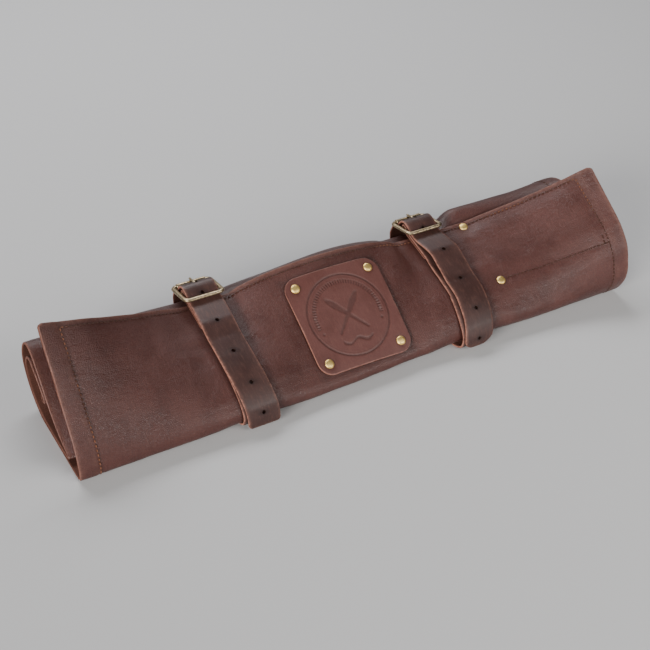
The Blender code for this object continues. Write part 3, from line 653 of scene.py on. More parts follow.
def sheet_faces(n, m):
    """Quads of a closed sheet over an n by m grid, and which look each wears: grain, flesh, cut edge."""
    index = np.arange(n * m).reshape(n, m)
    a, b, c, d = index[:-1, :-1], index[:-1, 1:], index[1:, 1:], index[1:, :-1]
    top = np.stack([a, b, c, d], axis=-1).reshape(-1, 4)
    under = np.stack([a, d, c, b], axis=-1).reshape(-1, 4) + n * m
    far = n * m
    sides = []
    for i in range(n - 1):
        p, q = index[i, 0], index[i + 1, 0]
        sides.append((p, q, q + far, p + far))
        p, q = index[i, -1], index[i + 1, -1]
        sides.append((p, p + far, q + far, q))
    for j in range(m - 1):
        p, q = index[0, j], index[0, j + 1]
        sides.append((p, p + far, q + far, q))
        p, q = index[-1, j], index[-1, j + 1]
        sides.append((p, q, q + far, p + far))
    faces = np.concatenate([top, under, np.array(sides)])
    looks = np.concatenate([np.zeros(len(top)), np.ones(len(under)), np.full(len(sides), 2)]).astype(int)
    return faces, looks


def border_distance(grid):
    """How far each point of a grid is from the sheet's nearest cut edge."""
    down = lengths_of(grid)
    along = np.linalg.norm(np.diff(grid, axis=0), axis=2)
    along = np.concatenate([np.zeros((1, grid.shape[1])), np.cumsum(along, axis=0)])
    return np.minimum(np.minimum(down, down[:, -1:] - down), np.minimum(along, along[-1:] - along))


def leather_sheet(name, grid, thickness, looks, hide, grain=0.0, marks=None, worn=2.2):
    """A sheet of leather about a grid: rounded cut edges, grain raises or presses its outer face."""
    n, m = grid.shape[:2]
    out = normals_of(grid)
    inset = border_distance(grid)
    half = thickness / 2 * (1 - 0.5 * (1 - np.clip(inset / 0.45, 0, 1)) ** 2)
    face = grid + out * (half + grain)[:, :, None]
    back = grid - out * half[:, :, None]
    faces, worn_by = sheet_faces(n, m)
    edge = np.exp(-inset / worn)
    given = {"hide": hide, "edge": edge, "hollow": np.zeros((n, m))}
    given.update(marks or {})
    doubled = {k: np.concatenate([v.reshape(n * m, -1)] * 2).squeeze() for k, v in given.items()}
    verts = np.concatenate([face.reshape(-1, 3), back.reshape(-1, 3)])
    return build(name, verts, faces, looks, doubled, worn_by)


def turned(name, profile, centre, axis, look, sides=36, squash=None):
    """A lathe body: profile of (radius, height, edge, hollow) along axis from centre."""
    turn = Vector((0, 0, 1)).rotation_difference(Vector(axis)).to_matrix()
    verts, faces, edge, hollow = [], [], [], []
    for r, h, e, w in profile:
        for k in range(sides):
            a = 2 * math.pi * k / sides
            local = Vector((max(r, 0.01) * math.cos(a), max(r, 0.01) * math.sin(a), h))
            if squash:
                local = squash(local)
            verts.append(Vector(centre) + turn @ local)
            edge.append(e)
            hollow.append(w)
    for i in range(len(profile) - 1):
        for k in range(sides):
            a, b = i * sides + k, i * sides + (k + 1) % sides
            faces.append((a, b, b + sides, a + sides))
    faces.append(list(range(sides))[::-1])
    faces.append([(len(profile) - 1) * sides + k for k in range(sides)])
    place = np.array(verts)
    return build(name, place, faces, [look], {"hide": place, "edge": edge, "hollow": hollow})


def bar(name, path, shape, look, closed=False, up=None, caps=True):
    """A bar swept along points: shape(i) gives its outline as (across, up) pairs at point i."""
    path = [Vector(p) for p in path]
    count = len(path)
    verts, faces, edge, hollow = [], [], [], []
    side = None
    for i, p in enumerate(path):
        before = path[i - 1] if closed or i else p
        after = path[(i + 1) % count] if closed or i < count - 1 else p
        along = (after - before).normalized()
        if up is not None:
            side = along.cross(Vector(up)).normalized()
        elif side is None:
            side = along.orthogonal().normalized()
        else:
            side = (side - along * side.dot(along)).normalized()
        high = side.cross(along)
        outline = shape(i)
        for u, v, e, w in outline:
            verts.append(p + side * u + high * v)
            edge.append(e)
            hollow.append(w)
    sides = len(outline)
    for i in range(count if closed else count - 1):
        for k in range(sides):
            a, b = i * sides, ((i + 1) % count) * sides
            faces.append((a + k, a + (k + 1) % sides, b + (k + 1) % sides, b + k))
    if not closed and caps:
        faces.append(list(range(sides))[::-1])
        faces.append([(count - 1) * sides + k for k in range(sides)])
    place = np.array(verts)
    return build(name, place, faces, [look], {"hide": place, "edge": edge, "hollow": hollow})


def joined(name, parts):
    """Several meshes made one piece."""
    keep = parts[0]
    with bpy.context.temp_override(active_object=keep, selected_editable_objects=parts,
                                   selected_objects=parts):
        bpy.ops.object.join()
    keep.name = name
    return keep


def oval(across, high, sides=14, top=0.0):
    """An oval outline, its top optionally flattened; rubbed on top, darker beneath."""
    out = []
    for k in range(sides):
        a = 2 * math.pi * k / sides
        u, v = across * math.cos(a), high * math.sin(a)
        if v > high - top:
            v = high - top
        out.append((u, v, 0.35 * max(0.0, math.sin(a)) ** 2, 0.6 * max(0.0, -math.sin(a)) ** 2))
    return out


# --- stitches ---------------------------------------------------------------------------------
THREAD_R = 0.46
STITCH_PITCH = 3.2


def stitches(name, holes, look=THREAD, lift=0.42, radius=THREAD_R):
    """Thread between each pair of holes ((place, out), (place, out)): a short bowed cord, ends sunk in."""
    rings = ((0.0, -0.9, 0.75), (0.08, 0.35, 1.0), (0.3, 0.95, 1.0), (0.5, 1.0, 1.0), (0.7, 0.95, 1.0),
             (0.92, 0.35, 1.0), (1.0, -0.9, 0.75))
    sides = 7
    verts, faces, ply, sunk_shade, worn = [], [], [], [], []
    for (p, out_p), (q, out_q) in holes:
        bias = 0.5 if p[0] < -200 and p[2] < 62 else -0.2  # paler thread low on the left end
        old = float(ease(0.12, 0.45, noise.noise(Vector(p) * 0.02) + bias))
        along = q - p
        span = np.linalg.norm(along)
        along = along / span
        first = len(verts)
        for t, rise, swell in rings:
            out = out_p * (1 - t) + out_q * t
            out = out / np.linalg.norm(out)
            side = np.cross(along, out)
            mid = p + along * span * t + out * (lift * rise)
            for k in range(sides):
                a = 2 * math.pi * k / sides
                verts.append(mid + (side * math.cos(a) + out * math.sin(a)) * radius * swell)
                ply.append((span * t + k * 0.2, span * t, 0.0))
                # painted shade where the thread dips into its holes
                sunk_shade.append(0.0 if rise > 0.9 else 0.6)
                worn.append(0.75 * old)
        for i in range(len(rings) - 1):
            for k in range(sides):
                a, b = first + i * sides, first + (i + 1) * sides
                faces.append((a + k, a + (k + 1) % sides, b + (k + 1) % sides, b + k))
        faces.append([first + k for k in range(sides)][::-1])
        faces.append([first + (len(rings) - 1) * sides + k for k in range(sides)])
    marks = {"ply": ply, "hollow": sunk_shade, "edge": worn}
    return build(name, np.array(verts), faces, [look], marks, crease=70.0)


def seam(spots, gap=0.95):
    """Stitch holes along a list of (place, out), leaving a short gap between stitches."""
    out = []
    for (p, n), (q, k) in zip(spots, spots[1:]):
        cut = (q - p) / max(np.linalg.norm(q - p), 1e-6) * gap / 2
        out.append(((p + cut, n), (q - cut, k)))
    return out


# --- cover ------------------------------------------------------------------------------------
def near_rivets(x, s, spots, reach):
    out = np.zeros_like(x)
    for rx, rs in spots:
        out = np.maximum(out, np.exp(-((np.hypot(x - rx, s - rs) / reach) ** 4)))
    return out


half_patch = PATCH_SIDE / 2
hem = hem_distance(grid_x)
# painted shade, partly dust: the hollow mark darkens the seam grooves, the pocket rivets' dimples, and the
# leather beside the straps and round the patch
hollow = 0.22 * np.exp(-((hem / 0.9) ** 2))
hollow += 0.26 * np.exp(-(((smooth_len - TOP_SEAM) / 0.8) ** 2)) * (hem > 0)
hollow += 0.26 * np.exp(-(((smooth_len - POCKET_SEAM) / 0.8) ** 2)) * (grid_x > 131) * (hem > 0)
hollow = np.maximum(hollow, near_rivets(grid_x, smooth_len, POCKET_RIVETS, 4.3))
# painted shade along both edges of each strap
for middle in STRAP_X.values():
    beside = np.exp(-(((np.abs(grid_x - middle) - 12.5) / 2.6) ** 2))
    hollow = np.maximum(hollow, 0.55 * beside * (smooth_len < 118))
# painted shade round the patch's edge
around = np.maximum(np.abs(grid_x - PATCH_X), np.abs(smooth_len - PATCH_TOP - half_patch)) - half_patch
hollow = np.maximum(hollow, 0.6 * np.exp(-((np.maximum(around, 0) / 1.8) ** 2)) * (around > -3))
rubbed = np.exp(-border_distance(cover_grid) / 2.0)
hem_wear = 0.5 + 0.5 * ripple(grid_x / 5.0, smooth_len / 9.0, 31.0)
rubbed = np.maximum(rubbed, 0.55 * np.exp(-(((hem + 2.4) / 2.8) ** 2)) * hem_wear)
rubbed = np.maximum(rubbed, 0.3 * (1 - ease(1.5, 3.5, smooth_len)))
cover_hide = np.stack([grid_x, smooth_len, np.zeros_like(grid_x)], axis=-1)

cover = leather_sheet("cover", cover_grid, COVER_T, [COVER_HIDE, FLESH, COVER_EDGE], cover_hide, grain_side,
                      {"edge": np.clip(rubbed, 0, 1), "hollow": np.clip(hollow, 0, 1)})
kept(cover, "rolled_case", ["cover"])


def stitch_line(spot_at, length, start=0.0, jitter=0.12, seed=3.0):
    count = max(2, int(length / STITCH_PITCH))
    out = []
    for k in range(count + 1):
        t = start + length * k / count
        out.append(spot_at(t, jitter * noise.noise(Vector((k * 0.9, seed, 0)))))
    return out


seams = []
on_face = COVER_T / 2 - 0.16
for side, x in (("left", -HALF_LENGTH + HEM["left"]), ("right", HALF_LENGTH - HEM["right"])):
    seam_end = float(np.interp(x, ROWS, cover_len[:, -1])) - 14.0
    line = stitch_line(lambda t, j: spot(x + j, t, on_face), seam_end - TOP_SEAM, TOP_SEAM)
    seams += seam(line)
    seams += seam([(spot(x, t, -COVER_T / 2 + 0.1)[0], -spot(x, t)[1])
                   for t in np.arange(TOP_SEAM, seam_end, STITCH_PITCH)])
left_seam, right_seam = -HALF_LENGTH + HEM["left"], HALF_LENGTH - HEM["right"]
top_line = stitch_line(lambda t, j: spot(t, TOP_SEAM + j, on_face), right_seam - left_seam, left_seam)
seams += seam(top_line)
seams += seam([(p - n * (on_face + COVER_T / 2 - 0.1), -n) for p, n in top_line])
pocket_line = stitch_line(lambda t, j: spot(t, POCKET_SEAM + j, on_face), right_seam - 132.0, 132.0)
seams += seam(pocket_line, 1.3)
bar_tack = stitch_line(lambda t, j: spot(right_seam - 3.2 + j, t, on_face), 9.0, POCKET_SEAM - 8.0)
seams += seam(bar_tack)
cover_seams = stitches("cover_seams", seams)
kept(cover_seams, "rolled_case", [])

# --- accessory pocket behind the flap ---------------------------------------------------------
pocket_rows = rim_steps(POCKET_X0, POCKET_X1, 4.0)
pocket_down = rim_steps(POCKET_TOP, POCKET_BOTTOM, 3.5)
pocket_off = -(COVER_T / 2 + 0.75 + PANEL_T / 2)


def pocket_point(x, s):
    """A place on the pocket leather, slack between its seams."""
    slack = 0.25 * abs(math.sin(x * 0.21)) * math.sin(math.pi * s / 70.0)
    return spot(x, s, pocket_off - slack)[0]


pocket_grid = np.array([[pocket_point(x, s) for s in pocket_down] for x in pocket_rows])
pocket_hide = np.array([[(x, s, 40.0) for s in pocket_down] for x in pocket_rows])
LINING_LOOKS = [LINING_HIDE, LINING_HIDE, COVER_EDGE]
pocket = leather_sheet("accessory_pocket", pocket_grid, PANEL_T, LINING_LOOKS, pocket_hide)
kept(pocket, "rolled_case", ["accessory_pocket"])

# --- brush pocket panel, gathered along its ends ----------------------------------------------
PANEL_END = 226.0
panel_rows = rim_steps(-PANEL_END, PANEL_END, 3.6)


def control_length(x, k):
    """Length down the cover at x where control point k of its section lies."""
    i = int(np.clip(np.searchsorted(ROWS, x), 0, len(ROWS) - 1))
    return float(np.interp(k, TURN, cover_len[i, :len(TURN)]))


PANEL_FIRST, PANEL_LAST = 22.9, 28.9  # control points where the panel begins and ends
panel_share = (rim_steps(0.0, 130.0, 2.8)) / 130.0


def gathered(x, s):
    """How far the panel's gathered ends buckle off the cover."""
    near = math.exp(-(((PANEL_END - abs(x)) / 9.0) ** 2))
    return near * (0.9 + 0.9 * noise.noise(Vector((s / 3.4, x / 24.0, 41.0))) + 0.4 * math.sin(s * 1.15))


def panel_point(x, share):
    s = control_length(x, PANEL_FIRST) * (1 - share) + control_length(x, PANEL_LAST) * share
    fade = float(ease(0.0, 0.08, share) * (1 - ease(0.93, 1.0, share)))
    return spot(x, s, -(COVER_T / 2 + FIT + PANEL_T / 2) - fade * max(0.0, gathered(x, s)))[0]


panel_grid = np.array([[panel_point(x, share) for share in panel_share] for x in panel_rows])
panel_len = lengths_of(panel_grid)
panel_hide = np.stack([panel_grid[:, :, 0], panel_len, np.full_like(panel_len, 80.0)], axis=-1)
panel = leather_sheet("brush_pocket_panel", panel_grid, PANEL_T, LINING_LOOKS, panel_hide)
kept(panel, "rolled_case", ["brush_pocket_panel"])

# --- label patch ------------------------------------------------------------------------------
PATCH_OFF = COVER_T / 2 + PATCH_GAP + PATCH_T / 2
RING_R = 32.2


def capsule(u, v, a, b, ra, rb):
    """Signed distance to a tapering bar from a to b."""
    ax, ay = a
    dx, dy = b[0] - ax, b[1] - ay
    t = np.clip(((u - ax) * dx + (v - ay) * dy) / (dx * dx + dy * dy), 0, 1)
    return np.hypot(u - ax - dx * t, v - ay - dy * t) - (ra + (rb - ra) * t)


def pressed(distance, soft=0.55):
    return 1 - ease(-soft / 2, soft, distance)


def crossed_brush(u, v, lean):
    """One brush of the mark, leaning: handle, ferrule and a pointed head."""
    c, s = math.cos(lean), math.sin(lean)
    p, q = u * c + v * s, -u * s + v * c
    handle = capsule(p, q, (0, 17.5), (0, -3.0), 0.7, 1.5)
    ferrule = np.maximum(np.abs(p) - 1.9, np.abs(q + 6.0) - 1.9)
    ferrule = np.minimum(ferrule, 9.0)
    head = np.hypot(p / 0.42, np.minimum(q + 11.0, 0) * 0.62 + np.maximum(q + 11.0, 0) * 1.1) - 5.6
    return np.minimum(np.minimum(handle, ferrule), head * 0.5)


def stamp(u, v):
    """Depth share of the stamped mark: a ring, a rope of ticks, two crossed brushes and a stroke."""
    r = np.hypot(u, v)
    angle = np.arctan2(u, -v)
    ring = pressed(np.abs(r - RING_R) - 0.62, 0.5)
    ring = np.maximum(ring, 0.35 * pressed(np.abs(r - RING_R + 2.1) - 0.15, 0.4))
    tick = np.abs(((angle * 27.0 / 2.1) % 1.0) - 0.5) * 2.1 - 0.42
    band = np.maximum(np.abs(r - 26.6) - 1.5, np.maximum(tick, (np.abs(angle) - 1.75) * 27.0))
    marks = pressed(band, 0.5)
    for k in (-1, 1):
        dot = np.hypot(u - k * 26.6 * math.sin(1.93), v + 26.6 * math.cos(1.93)) - 0.75
        marks = np.maximum(marks, pressed(dot, 0.5))
    brushes = np.minimum(crossed_brush(u, v + 0.5, 0.72), crossed_brush(u, v + 0.5, -0.72))
    marks = np.maximum(marks, 0.75 * pressed(brushes, 0.7))
    swash = np.abs(v - 20.5 + 1.5 * np.cos(u * 0.42)) - (0.95 + 0.35 * np.sin(u * 0.35))
    swash = np.maximum(swash, np.abs(u) - 12.5)
    marks = np.maximum(marks, 0.8 * pressed(swash, 0.6))
    return np.maximum(ring, marks)


patch_across = rim_steps(-half_patch, half_patch, 0.62)
patch_down = rim_steps(0.0, PATCH_SIDE, 0.62) / PATCH_SIDE
patch_u = np.zeros((len(patch_across), len(patch_down)))
patch_v = np.zeros_like(patch_u)
for i, dx in enumerate(patch_across):
    into = max(0.0, abs(dx) - (half_patch - PATCH_CORNER))
    cut = PATCH_CORNER - math.sqrt(max(0.0, PATCH_CORNER**2 - into**2))
    patch_u[i] = dx
    patch_v[i] = -half_patch + cut + (PATCH_SIDE - 2 * cut) * patch_down
patch_middle = PATCH_TOP + half_patch
patch_grid = np.array([[level_spot(PATCH_X + u, patch_middle + v, PATCH_OFF)[0] for u, v in zip(*rows)]
                       for rows in zip(patch_u, patch_v)])
depth = stamp(patch_u, patch_v)
rivet_reach = half_patch - RIVET_INSET
patch_spots = [(sx * rivet_reach, sv * rivet_reach) for sv in (-1, 1) for sx in (-1, 1)]
near = near_rivets(patch_u, patch_v, patch_spots, 4.5)
patch_press = -0.42 * depth - 0.22 * near + 0.05 * ripple(patch_u / 9.0, patch_v / 9.0, 51.0)
patch_hide = np.stack([patch_u, patch_v, np.full_like(patch_u, 120.0)], axis=-1)
PATCH_LOOKS = [PATCH_HIDE, FLESH, CUT_EDGE]
# hollow mark: the stamped mark darkened, partly the darker tone of pressed leather and partly painted shade
# in its grooves; painted shade round the rivets
patch = leather_sheet("label_patch", patch_grid, PATCH_T, PATCH_LOOKS, patch_hide, patch_press,
                      {"hollow": np.clip(0.8 * depth + 0.8 * near, 0, 1)}, worn=0.9)
kept(patch, "rolled_case", ["label_patch"])

# --- rivets -----------------------------------------------------------------------------------
CAP = [
    (0.0, 1.36, 0.8, 0), (0.8, 1.35, 0.8, 0), (1.6, 1.29, 0.8, 0), (2.3, 1.16, 0.7, 0),
    (2.8, 0.96, 0.5, 0), (3.2, 0.68, 0.2, 0.1), (3.45, 0.4, 0, 0.3), (3.56, 0.18, 0, 0.7),
    (3.58, 0.02, 0, 1), (3.4, -0.08, 0, 1), (1.35, -0.1, 0, 1),
]


def rivet(node, place, out, stack, cap=CAP):
    """A hammered cap, its post and the pressed back cap."""
    under = -stack - 0.15
    seed = noise.noise(Vector(place)) * 40.0

    def hammered(p):
        dent = noise.noise(Vector((p.x * 0.7 + seed, p.y * 0.7, p.z + seed)))
        return p + Vector((0, 0, 0.03 * dent * (p.z > 0.3)))

    back = [(1.35, under, 0, 0.6), (2.7, under, 0, 0.6), (2.9, under - 0.25, 0.1, 0.3),
            (2.7, under - 0.55, 0.3, 0.1), (2.0, under - 0.75, 0.4, 0), (0.0, under - 0.8, 0.4, 0)]
    piece = turned(node, cap + back, place, out, BRASS, squash=hammered)
    return kept(piece, "rolled_case", [node])


for number, (u, v) in enumerate(patch_spots, 1):
    place, out = level_spot(PATCH_X + u, patch_middle + v, PATCH_OFF + PATCH_T / 2 - 0.05)
    rivet(f"patch_rivet_{number}", place, out, PATCH_T + PATCH_GAP + COVER_T)
for number, (x, s) in enumerate(POCKET_RIVETS, 1):
    place, out = spot(x, s, COVER_T / 2 - 0.35)
    rivet(f"pocket_rivet_{number}", place, out, COVER_T + 0.85 + PANEL_T - 0.2)

# --- straps -----------------------------------------------------------------------------------
STRAP_OFF = COVER_T / 2 + 0.5 + STRAP_T / 2
TAIL_START = 9.0
TAIL_OFF = STRAP_OFF + STRAP_T + 0.5
TAIL_TIP_Z = {"left": 2.2, "right": 2.6}
TIP_CORNER = {"left": 3.2, "right": 9.0}
SLACK = {"left": 0.0, "right": 4.0}
DRIFT = {"left": 0.0, "right": -7.0}
TAIL_LIFT = {"left": 0.4, "right": 2.8}
TAIL_BOW = 55.0
TAIL_DRIFT = {
    "left": ((0, 0), (20, -1.2), (60, -0.5), (102, 2.2)),
    "right": ((0, 0), (20, 2.0), (58, 2.6), (78, 0.4), (102, -5.5)),
}
HOLE_AT = (17.5, 45.0, 72.5, 95.0)
HOLE_R = 1.45
BACK_RIVET_RUN = 9.5  # up the back from control point 12

STRAP_ROW = {side: int(np.searchsorted(ROWS, x)) for side, x in STRAP_X.items()}
PINCHED = {side: smooth_grid[row, :len(TURN), 1:] for side, row in STRAP_ROW.items()}
PINCHED_LEN = {side: smooth_len[row, :len(TURN)] for side, row in STRAP_ROW.items()}
PINCHED_OUT = {side: smooth_out[row, :len(TURN), 1:] for side, row in STRAP_ROW.items()}
FLAP_STEPS = TURN.index(7.0)
BACK_STEPS = TURN.index(14.0)


def along_flap(side, s0, s1, steps, off0, off1):
    at, run, normal = PINCHED[side], PINCHED_LEN[side], PINCHED_OUT[side]
    out = []
    for k in range(steps + 1):
        t = k / steps
        s = s0 + (s1 - s0) * t
        off = off0 + (off1 - off0) * t
        out.append(tuple(np.interp(s, run, at[:, c]) + off * np.interp(s, run, normal[:, c]) for c in (0, 1)))
    return out


def arc(centre, radius, start, turn, steps):
    return [(centre[0] + radius * math.cos(math.radians(start + turn * k / steps)),
             centre[1] + radius * math.sin(math.radians(start + turn * k / steps))) for k in range(steps + 1)]


def hung(path, slack):
    """The path let out from the bottom front corner of the roll."""
    out = []
    for y, z in path:
        by = slack * max(0.0, 1 - math.hypot(y - 1.0, z - 4.0) / 24.0)
        out.append((y - 0.8 * by, z - 0.4 * by))
    return out


def wrapped(side, first, last, off, every=2):
    """The pinched section from step first to last, off out of the cover's middle layer."""
    return [tuple(PINCHED[side][i] + PINCHED_OUT[side][i] * off) for i in range(first, last, every)]


def step_at(side, s):
    return int(np.searchsorted(PINCHED_LEN[side], s))


def chape_path(side):
    """Turned-back end, fold on the centre bar, down the front, under and up the back to the roller."""
    path = [(p, SKIVED_T) for p in along_flap(side, 24, 4, 5, 2.0, 2.0)]
    path += [((83.6, 55.9), SKIVED_T)]
    path += [(p, SKIVED_T) for p in arc(CENTRE_BAR, FRAME_R + FIT + SKIVED_T / 2, -80, 195, 9)]
    path += [((80.4, 57.6), 1.7)]
    front = along_flap(side, 4, 25, 4, 4.0, 4.0) + along_flap(side, 30, 36, 2, 3.0, STRAP_OFF)
    path += [(p, STRAP_T) for p in front]
    wrap = hung(wrapped(side, step_at(side, 42.0), BACK_STEPS, STRAP_OFF), SLACK[side])
    path += [((y, max(z, STRAP_T / 2)), STRAP_T) for y, z in wrap]
    while path[-1][0][1] > 41.5:
        path.pop()
    return path + [((107.4, 46.0), STRAP_T), ((105.2, 51.0), STRAP_T)]


def bowed(side, s, off):
    t = min(1.0, max(0.0, (s - TAIL_START) / (TAIL_BOW - TAIL_START)))
    return along_flap(side, s, s, 1, off + TAIL_LIFT[side] * math.sin(math.pi * t), 0)[0]


def billet_path(side):
    """From under the roller over the centre bar, under the front bar and down the flap."""
    path = [(105.2, 51.0)] + arc(REAR_BAR, ROLLER_OUT + 1.6, -55, -95, 4)
    path += [(95.8, 59.6), (93.6, 62.4), (91.2, 64.0), (CENTRE_BAR[0], CENTRE_BAR[1] + 4.9), (84.6, 63.7),
             (81.0, 61.7), (78.2, 59.6), (76.1, 58.5)]
    head = len(path)
    lifts = ((TAIL_START, 6.9), (13, 7.05), (17.5, 7.2), (22, 7.35), (26, 7.5), (32, 6.4), (38, 5.2),
             (43, TAIL_OFF))
    path += [bowed(side, s, off) for s, off in lifts]
    outer = hung(wrapped(side, step_at(side, 50.0), FLAP_STEPS + 1, TAIL_OFF), SLACK[side])
    path += [p for p in outer if p[1] > 13.5]
    y = min(p[0] for p in outer) - 0.2
    path += [(y, 10.5), (y, 6.5), (y, TAIL_TIP_Z[side])]
    return path, head


def fine(points, step=1.6):
    """A Catmull-Rom path through points, close and evenly stepped."""
    dense = []
    for i in range(len(points) - 1):
        dense += [on_spline(points, i + k / 12) for k in range(12)]
    dense = np.array(dense + [points[-1]])
    run = np.concatenate([[0], np.cumsum(np.linalg.norm(np.diff(dense[:, :2], axis=0), axis=1))])
    even = rim_steps(0.0, run[-1], step)
    return np.stack([np.interp(even, run, dense[:, c]) for c in range(dense.shape[1])], axis=1), even


def strap_band(name, path, run, x_mid, drift, corner=0.0):
    """A strap along (y, z, thickness), its edges bevelled; corner rounds its last end."""
    turn = np.gradient(path[:, :2], run, axis=0)
    turn /= np.linalg.norm(turn, axis=1, keepdims=True)
    verts, hide, edge = [], [], []
    for i, (y, z, t) in enumerate(path):
        w, h = STRAP_W / 2, t / 2
        left = run[-1] - run[i]
        if corner and left < corner:
            w -= corner - math.sqrt(max(0.0, corner**2 - (corner - left) ** 2))
        if corner:
            h *= 1 - 0.5 * (1 - min(left / 0.5, 1)) ** 2
        across = (-w, -w + 0.2, -w + 0.7, -w + 2.2, -w / 2, 0, w / 2, w - 2.2, w - 0.7, w - 0.2, w)
        high = (0.4, 0.82, 0.98, 1.0, 1.03, 1.05, 1.03, 1.0, 0.98, 0.82, 0.4)
        ny, nz = turn[i][1], -turn[i][0]
        loop = [(u, h * k) for u, k in zip(across, high)]
        loop += [(u, -h * k) for u, k in zip(across[::-1], high[::-1])]
        for u, k in loop:
            verts.append((x_mid + drift[i] + u, y + ny * k, z + nz * k))
            hide.append((u, run[i], x_mid))
            edge.append(math.exp(-min(w - abs(u), left + 0.3 if corner else 9.0) / 0.8))
    count = 22
    faces, looks = [], []
    for i in range(len(path) - 1):
        a, b = i * count, (i + 1) * count
        for k in range(count):
            faces.append((a + k, b + k, b + (k + 1) % count, a + (k + 1) % count))
            looks.append(1 if k in (10, 21) else 2 if 10 < k < 21 else 0)
    faces += [list(range(count)), [(len(path) - 1) * count + k for k in range(count)][::-1]]
    looks += [1, 1]
    return build(name, verts, faces, [STRAP_HIDE, CUT_EDGE, FLESH, PUNCHED_SHADE],
                 {"hide": hide, "edge": edge, "hollow": np.zeros(len(verts))}, looks, 32.0)


def punch(piece, tools):
    """Cut the tools out of a piece, and keep the numbers that the shaders read."""
    for tool in tools:
        step = piece.modifiers.new("punch", "BOOLEAN")
        step.object, step.operation, step.solver = tool, "DIFFERENCE", "EXACT"
    graph = bpy.context.evaluated_depsgraph_get()
    cut = bpy.data.meshes.new_from_object(piece.evaluated_get(graph), preserve_all_data_layers=True,
                                          depsgraph=graph)
    before = piece.data
    old = np.array([v.co for v in before.vertices])
    kept_marks = {}
    for name, kind, wide in (("hide", "vector", 3), ("edge", "value", 1), ("hollow", "value", 1)):
        flat = np.zeros(len(old) * wide, np.float32)
        before.attributes[name].data.foreach_get(kind, flat)
        kept_marks[name] = flat.reshape(len(old), wide)
    piece.modifiers.clear()
    piece.data = cut
    new = np.array([v.co for v in cut.vertices])
    nearest = np.array([np.argmin(((old - v) ** 2).sum(axis=1)) for v in new])
    marks = {}
    for name, values in kept_marks.items():
        marks[name] = values[nearest].squeeze()
    holes = [np.array(tool["centre"]) for tool in tools]
    gap = np.min([np.linalg.norm(new / MM - (h - (0, MIDDLE_Y, 0)), axis=1) for h in holes], axis=0)
    # painted shade: the hollow mark darkens the strap round each hole
    marks["hollow"] = np.exp(-((np.maximum(gap - HOLE_R, 0) / 1.1) ** 2))
    for name in list(marks):
        if cut.attributes.get(name):
            cut.attributes.remove(cut.attributes[name])
    store(piece, marks)
    for tool in tools:
        bpy.data.objects.remove(tool)
    cut.set_sharp_from_angle(angle=math.radians(32.0))
    return piece


def punch_tool(centre, axis, radius, reach, long=0.0):
    """A round or oblong punch through centre along axis; long stretches it in the section's plane."""
    turn = Vector((0, 0, 1)).rotation_difference(Vector(axis)).to_matrix()
    verts, faces, sides = [], [], 20
    for h in (-reach, reach):
        for k in range(sides):
            a = 2 * math.pi * k / sides
            local = Vector((radius * math.cos(a), (radius + long) * math.sin(a), h))
            verts.append(Vector(centre) + turn @ local)
    faces = [(k, (k + 1) % sides, sides + (k + 1) % sides, sides + k) for k in range(sides)]
    faces += [list(range(sides))[::-1], [sides + k for k in range(sides)]]
    tool = build("punch", np.array(verts), faces, [STRAP_HIDE, CUT_EDGE, FLESH, PUNCHED_SHADE],
                 {"hide": np.zeros((2 * sides, 3))}, [3] * (sides + 2))
    tool["centre"] = list(map(float, centre))
    return tool


def sideways(side, run):
    spots = TAIL_DRIFT[side]
    return float(np.interp(run, [s for s, _ in spots], [d for _, d in spots]))


def path_spot(path, run, at):
    y, z = (np.interp(at, run, path[:, c]) for c in (0, 1))
    y1, z1 = (np.interp(at + 1.0, run, path[:, c]) for c in (0, 1))
    size = math.hypot(y1 - y, z1 - z)
    return (y, z), ((z1 - z) / size, -(y1 - y) / size)


FLAT_CAP = [
    (0.0, 0.85, 0.5, 0), (1.4, 0.85, 0.4, 0), (2.5, 0.8, 0.3, 0), (3.1, 0.62, 0.1, 0.2),
    (3.35, 0.35, 0, 0.7), (3.38, 0.05, 0, 1), (3.2, -0.02, 0, 1), (1.2, -0.05, 0, 1),
]

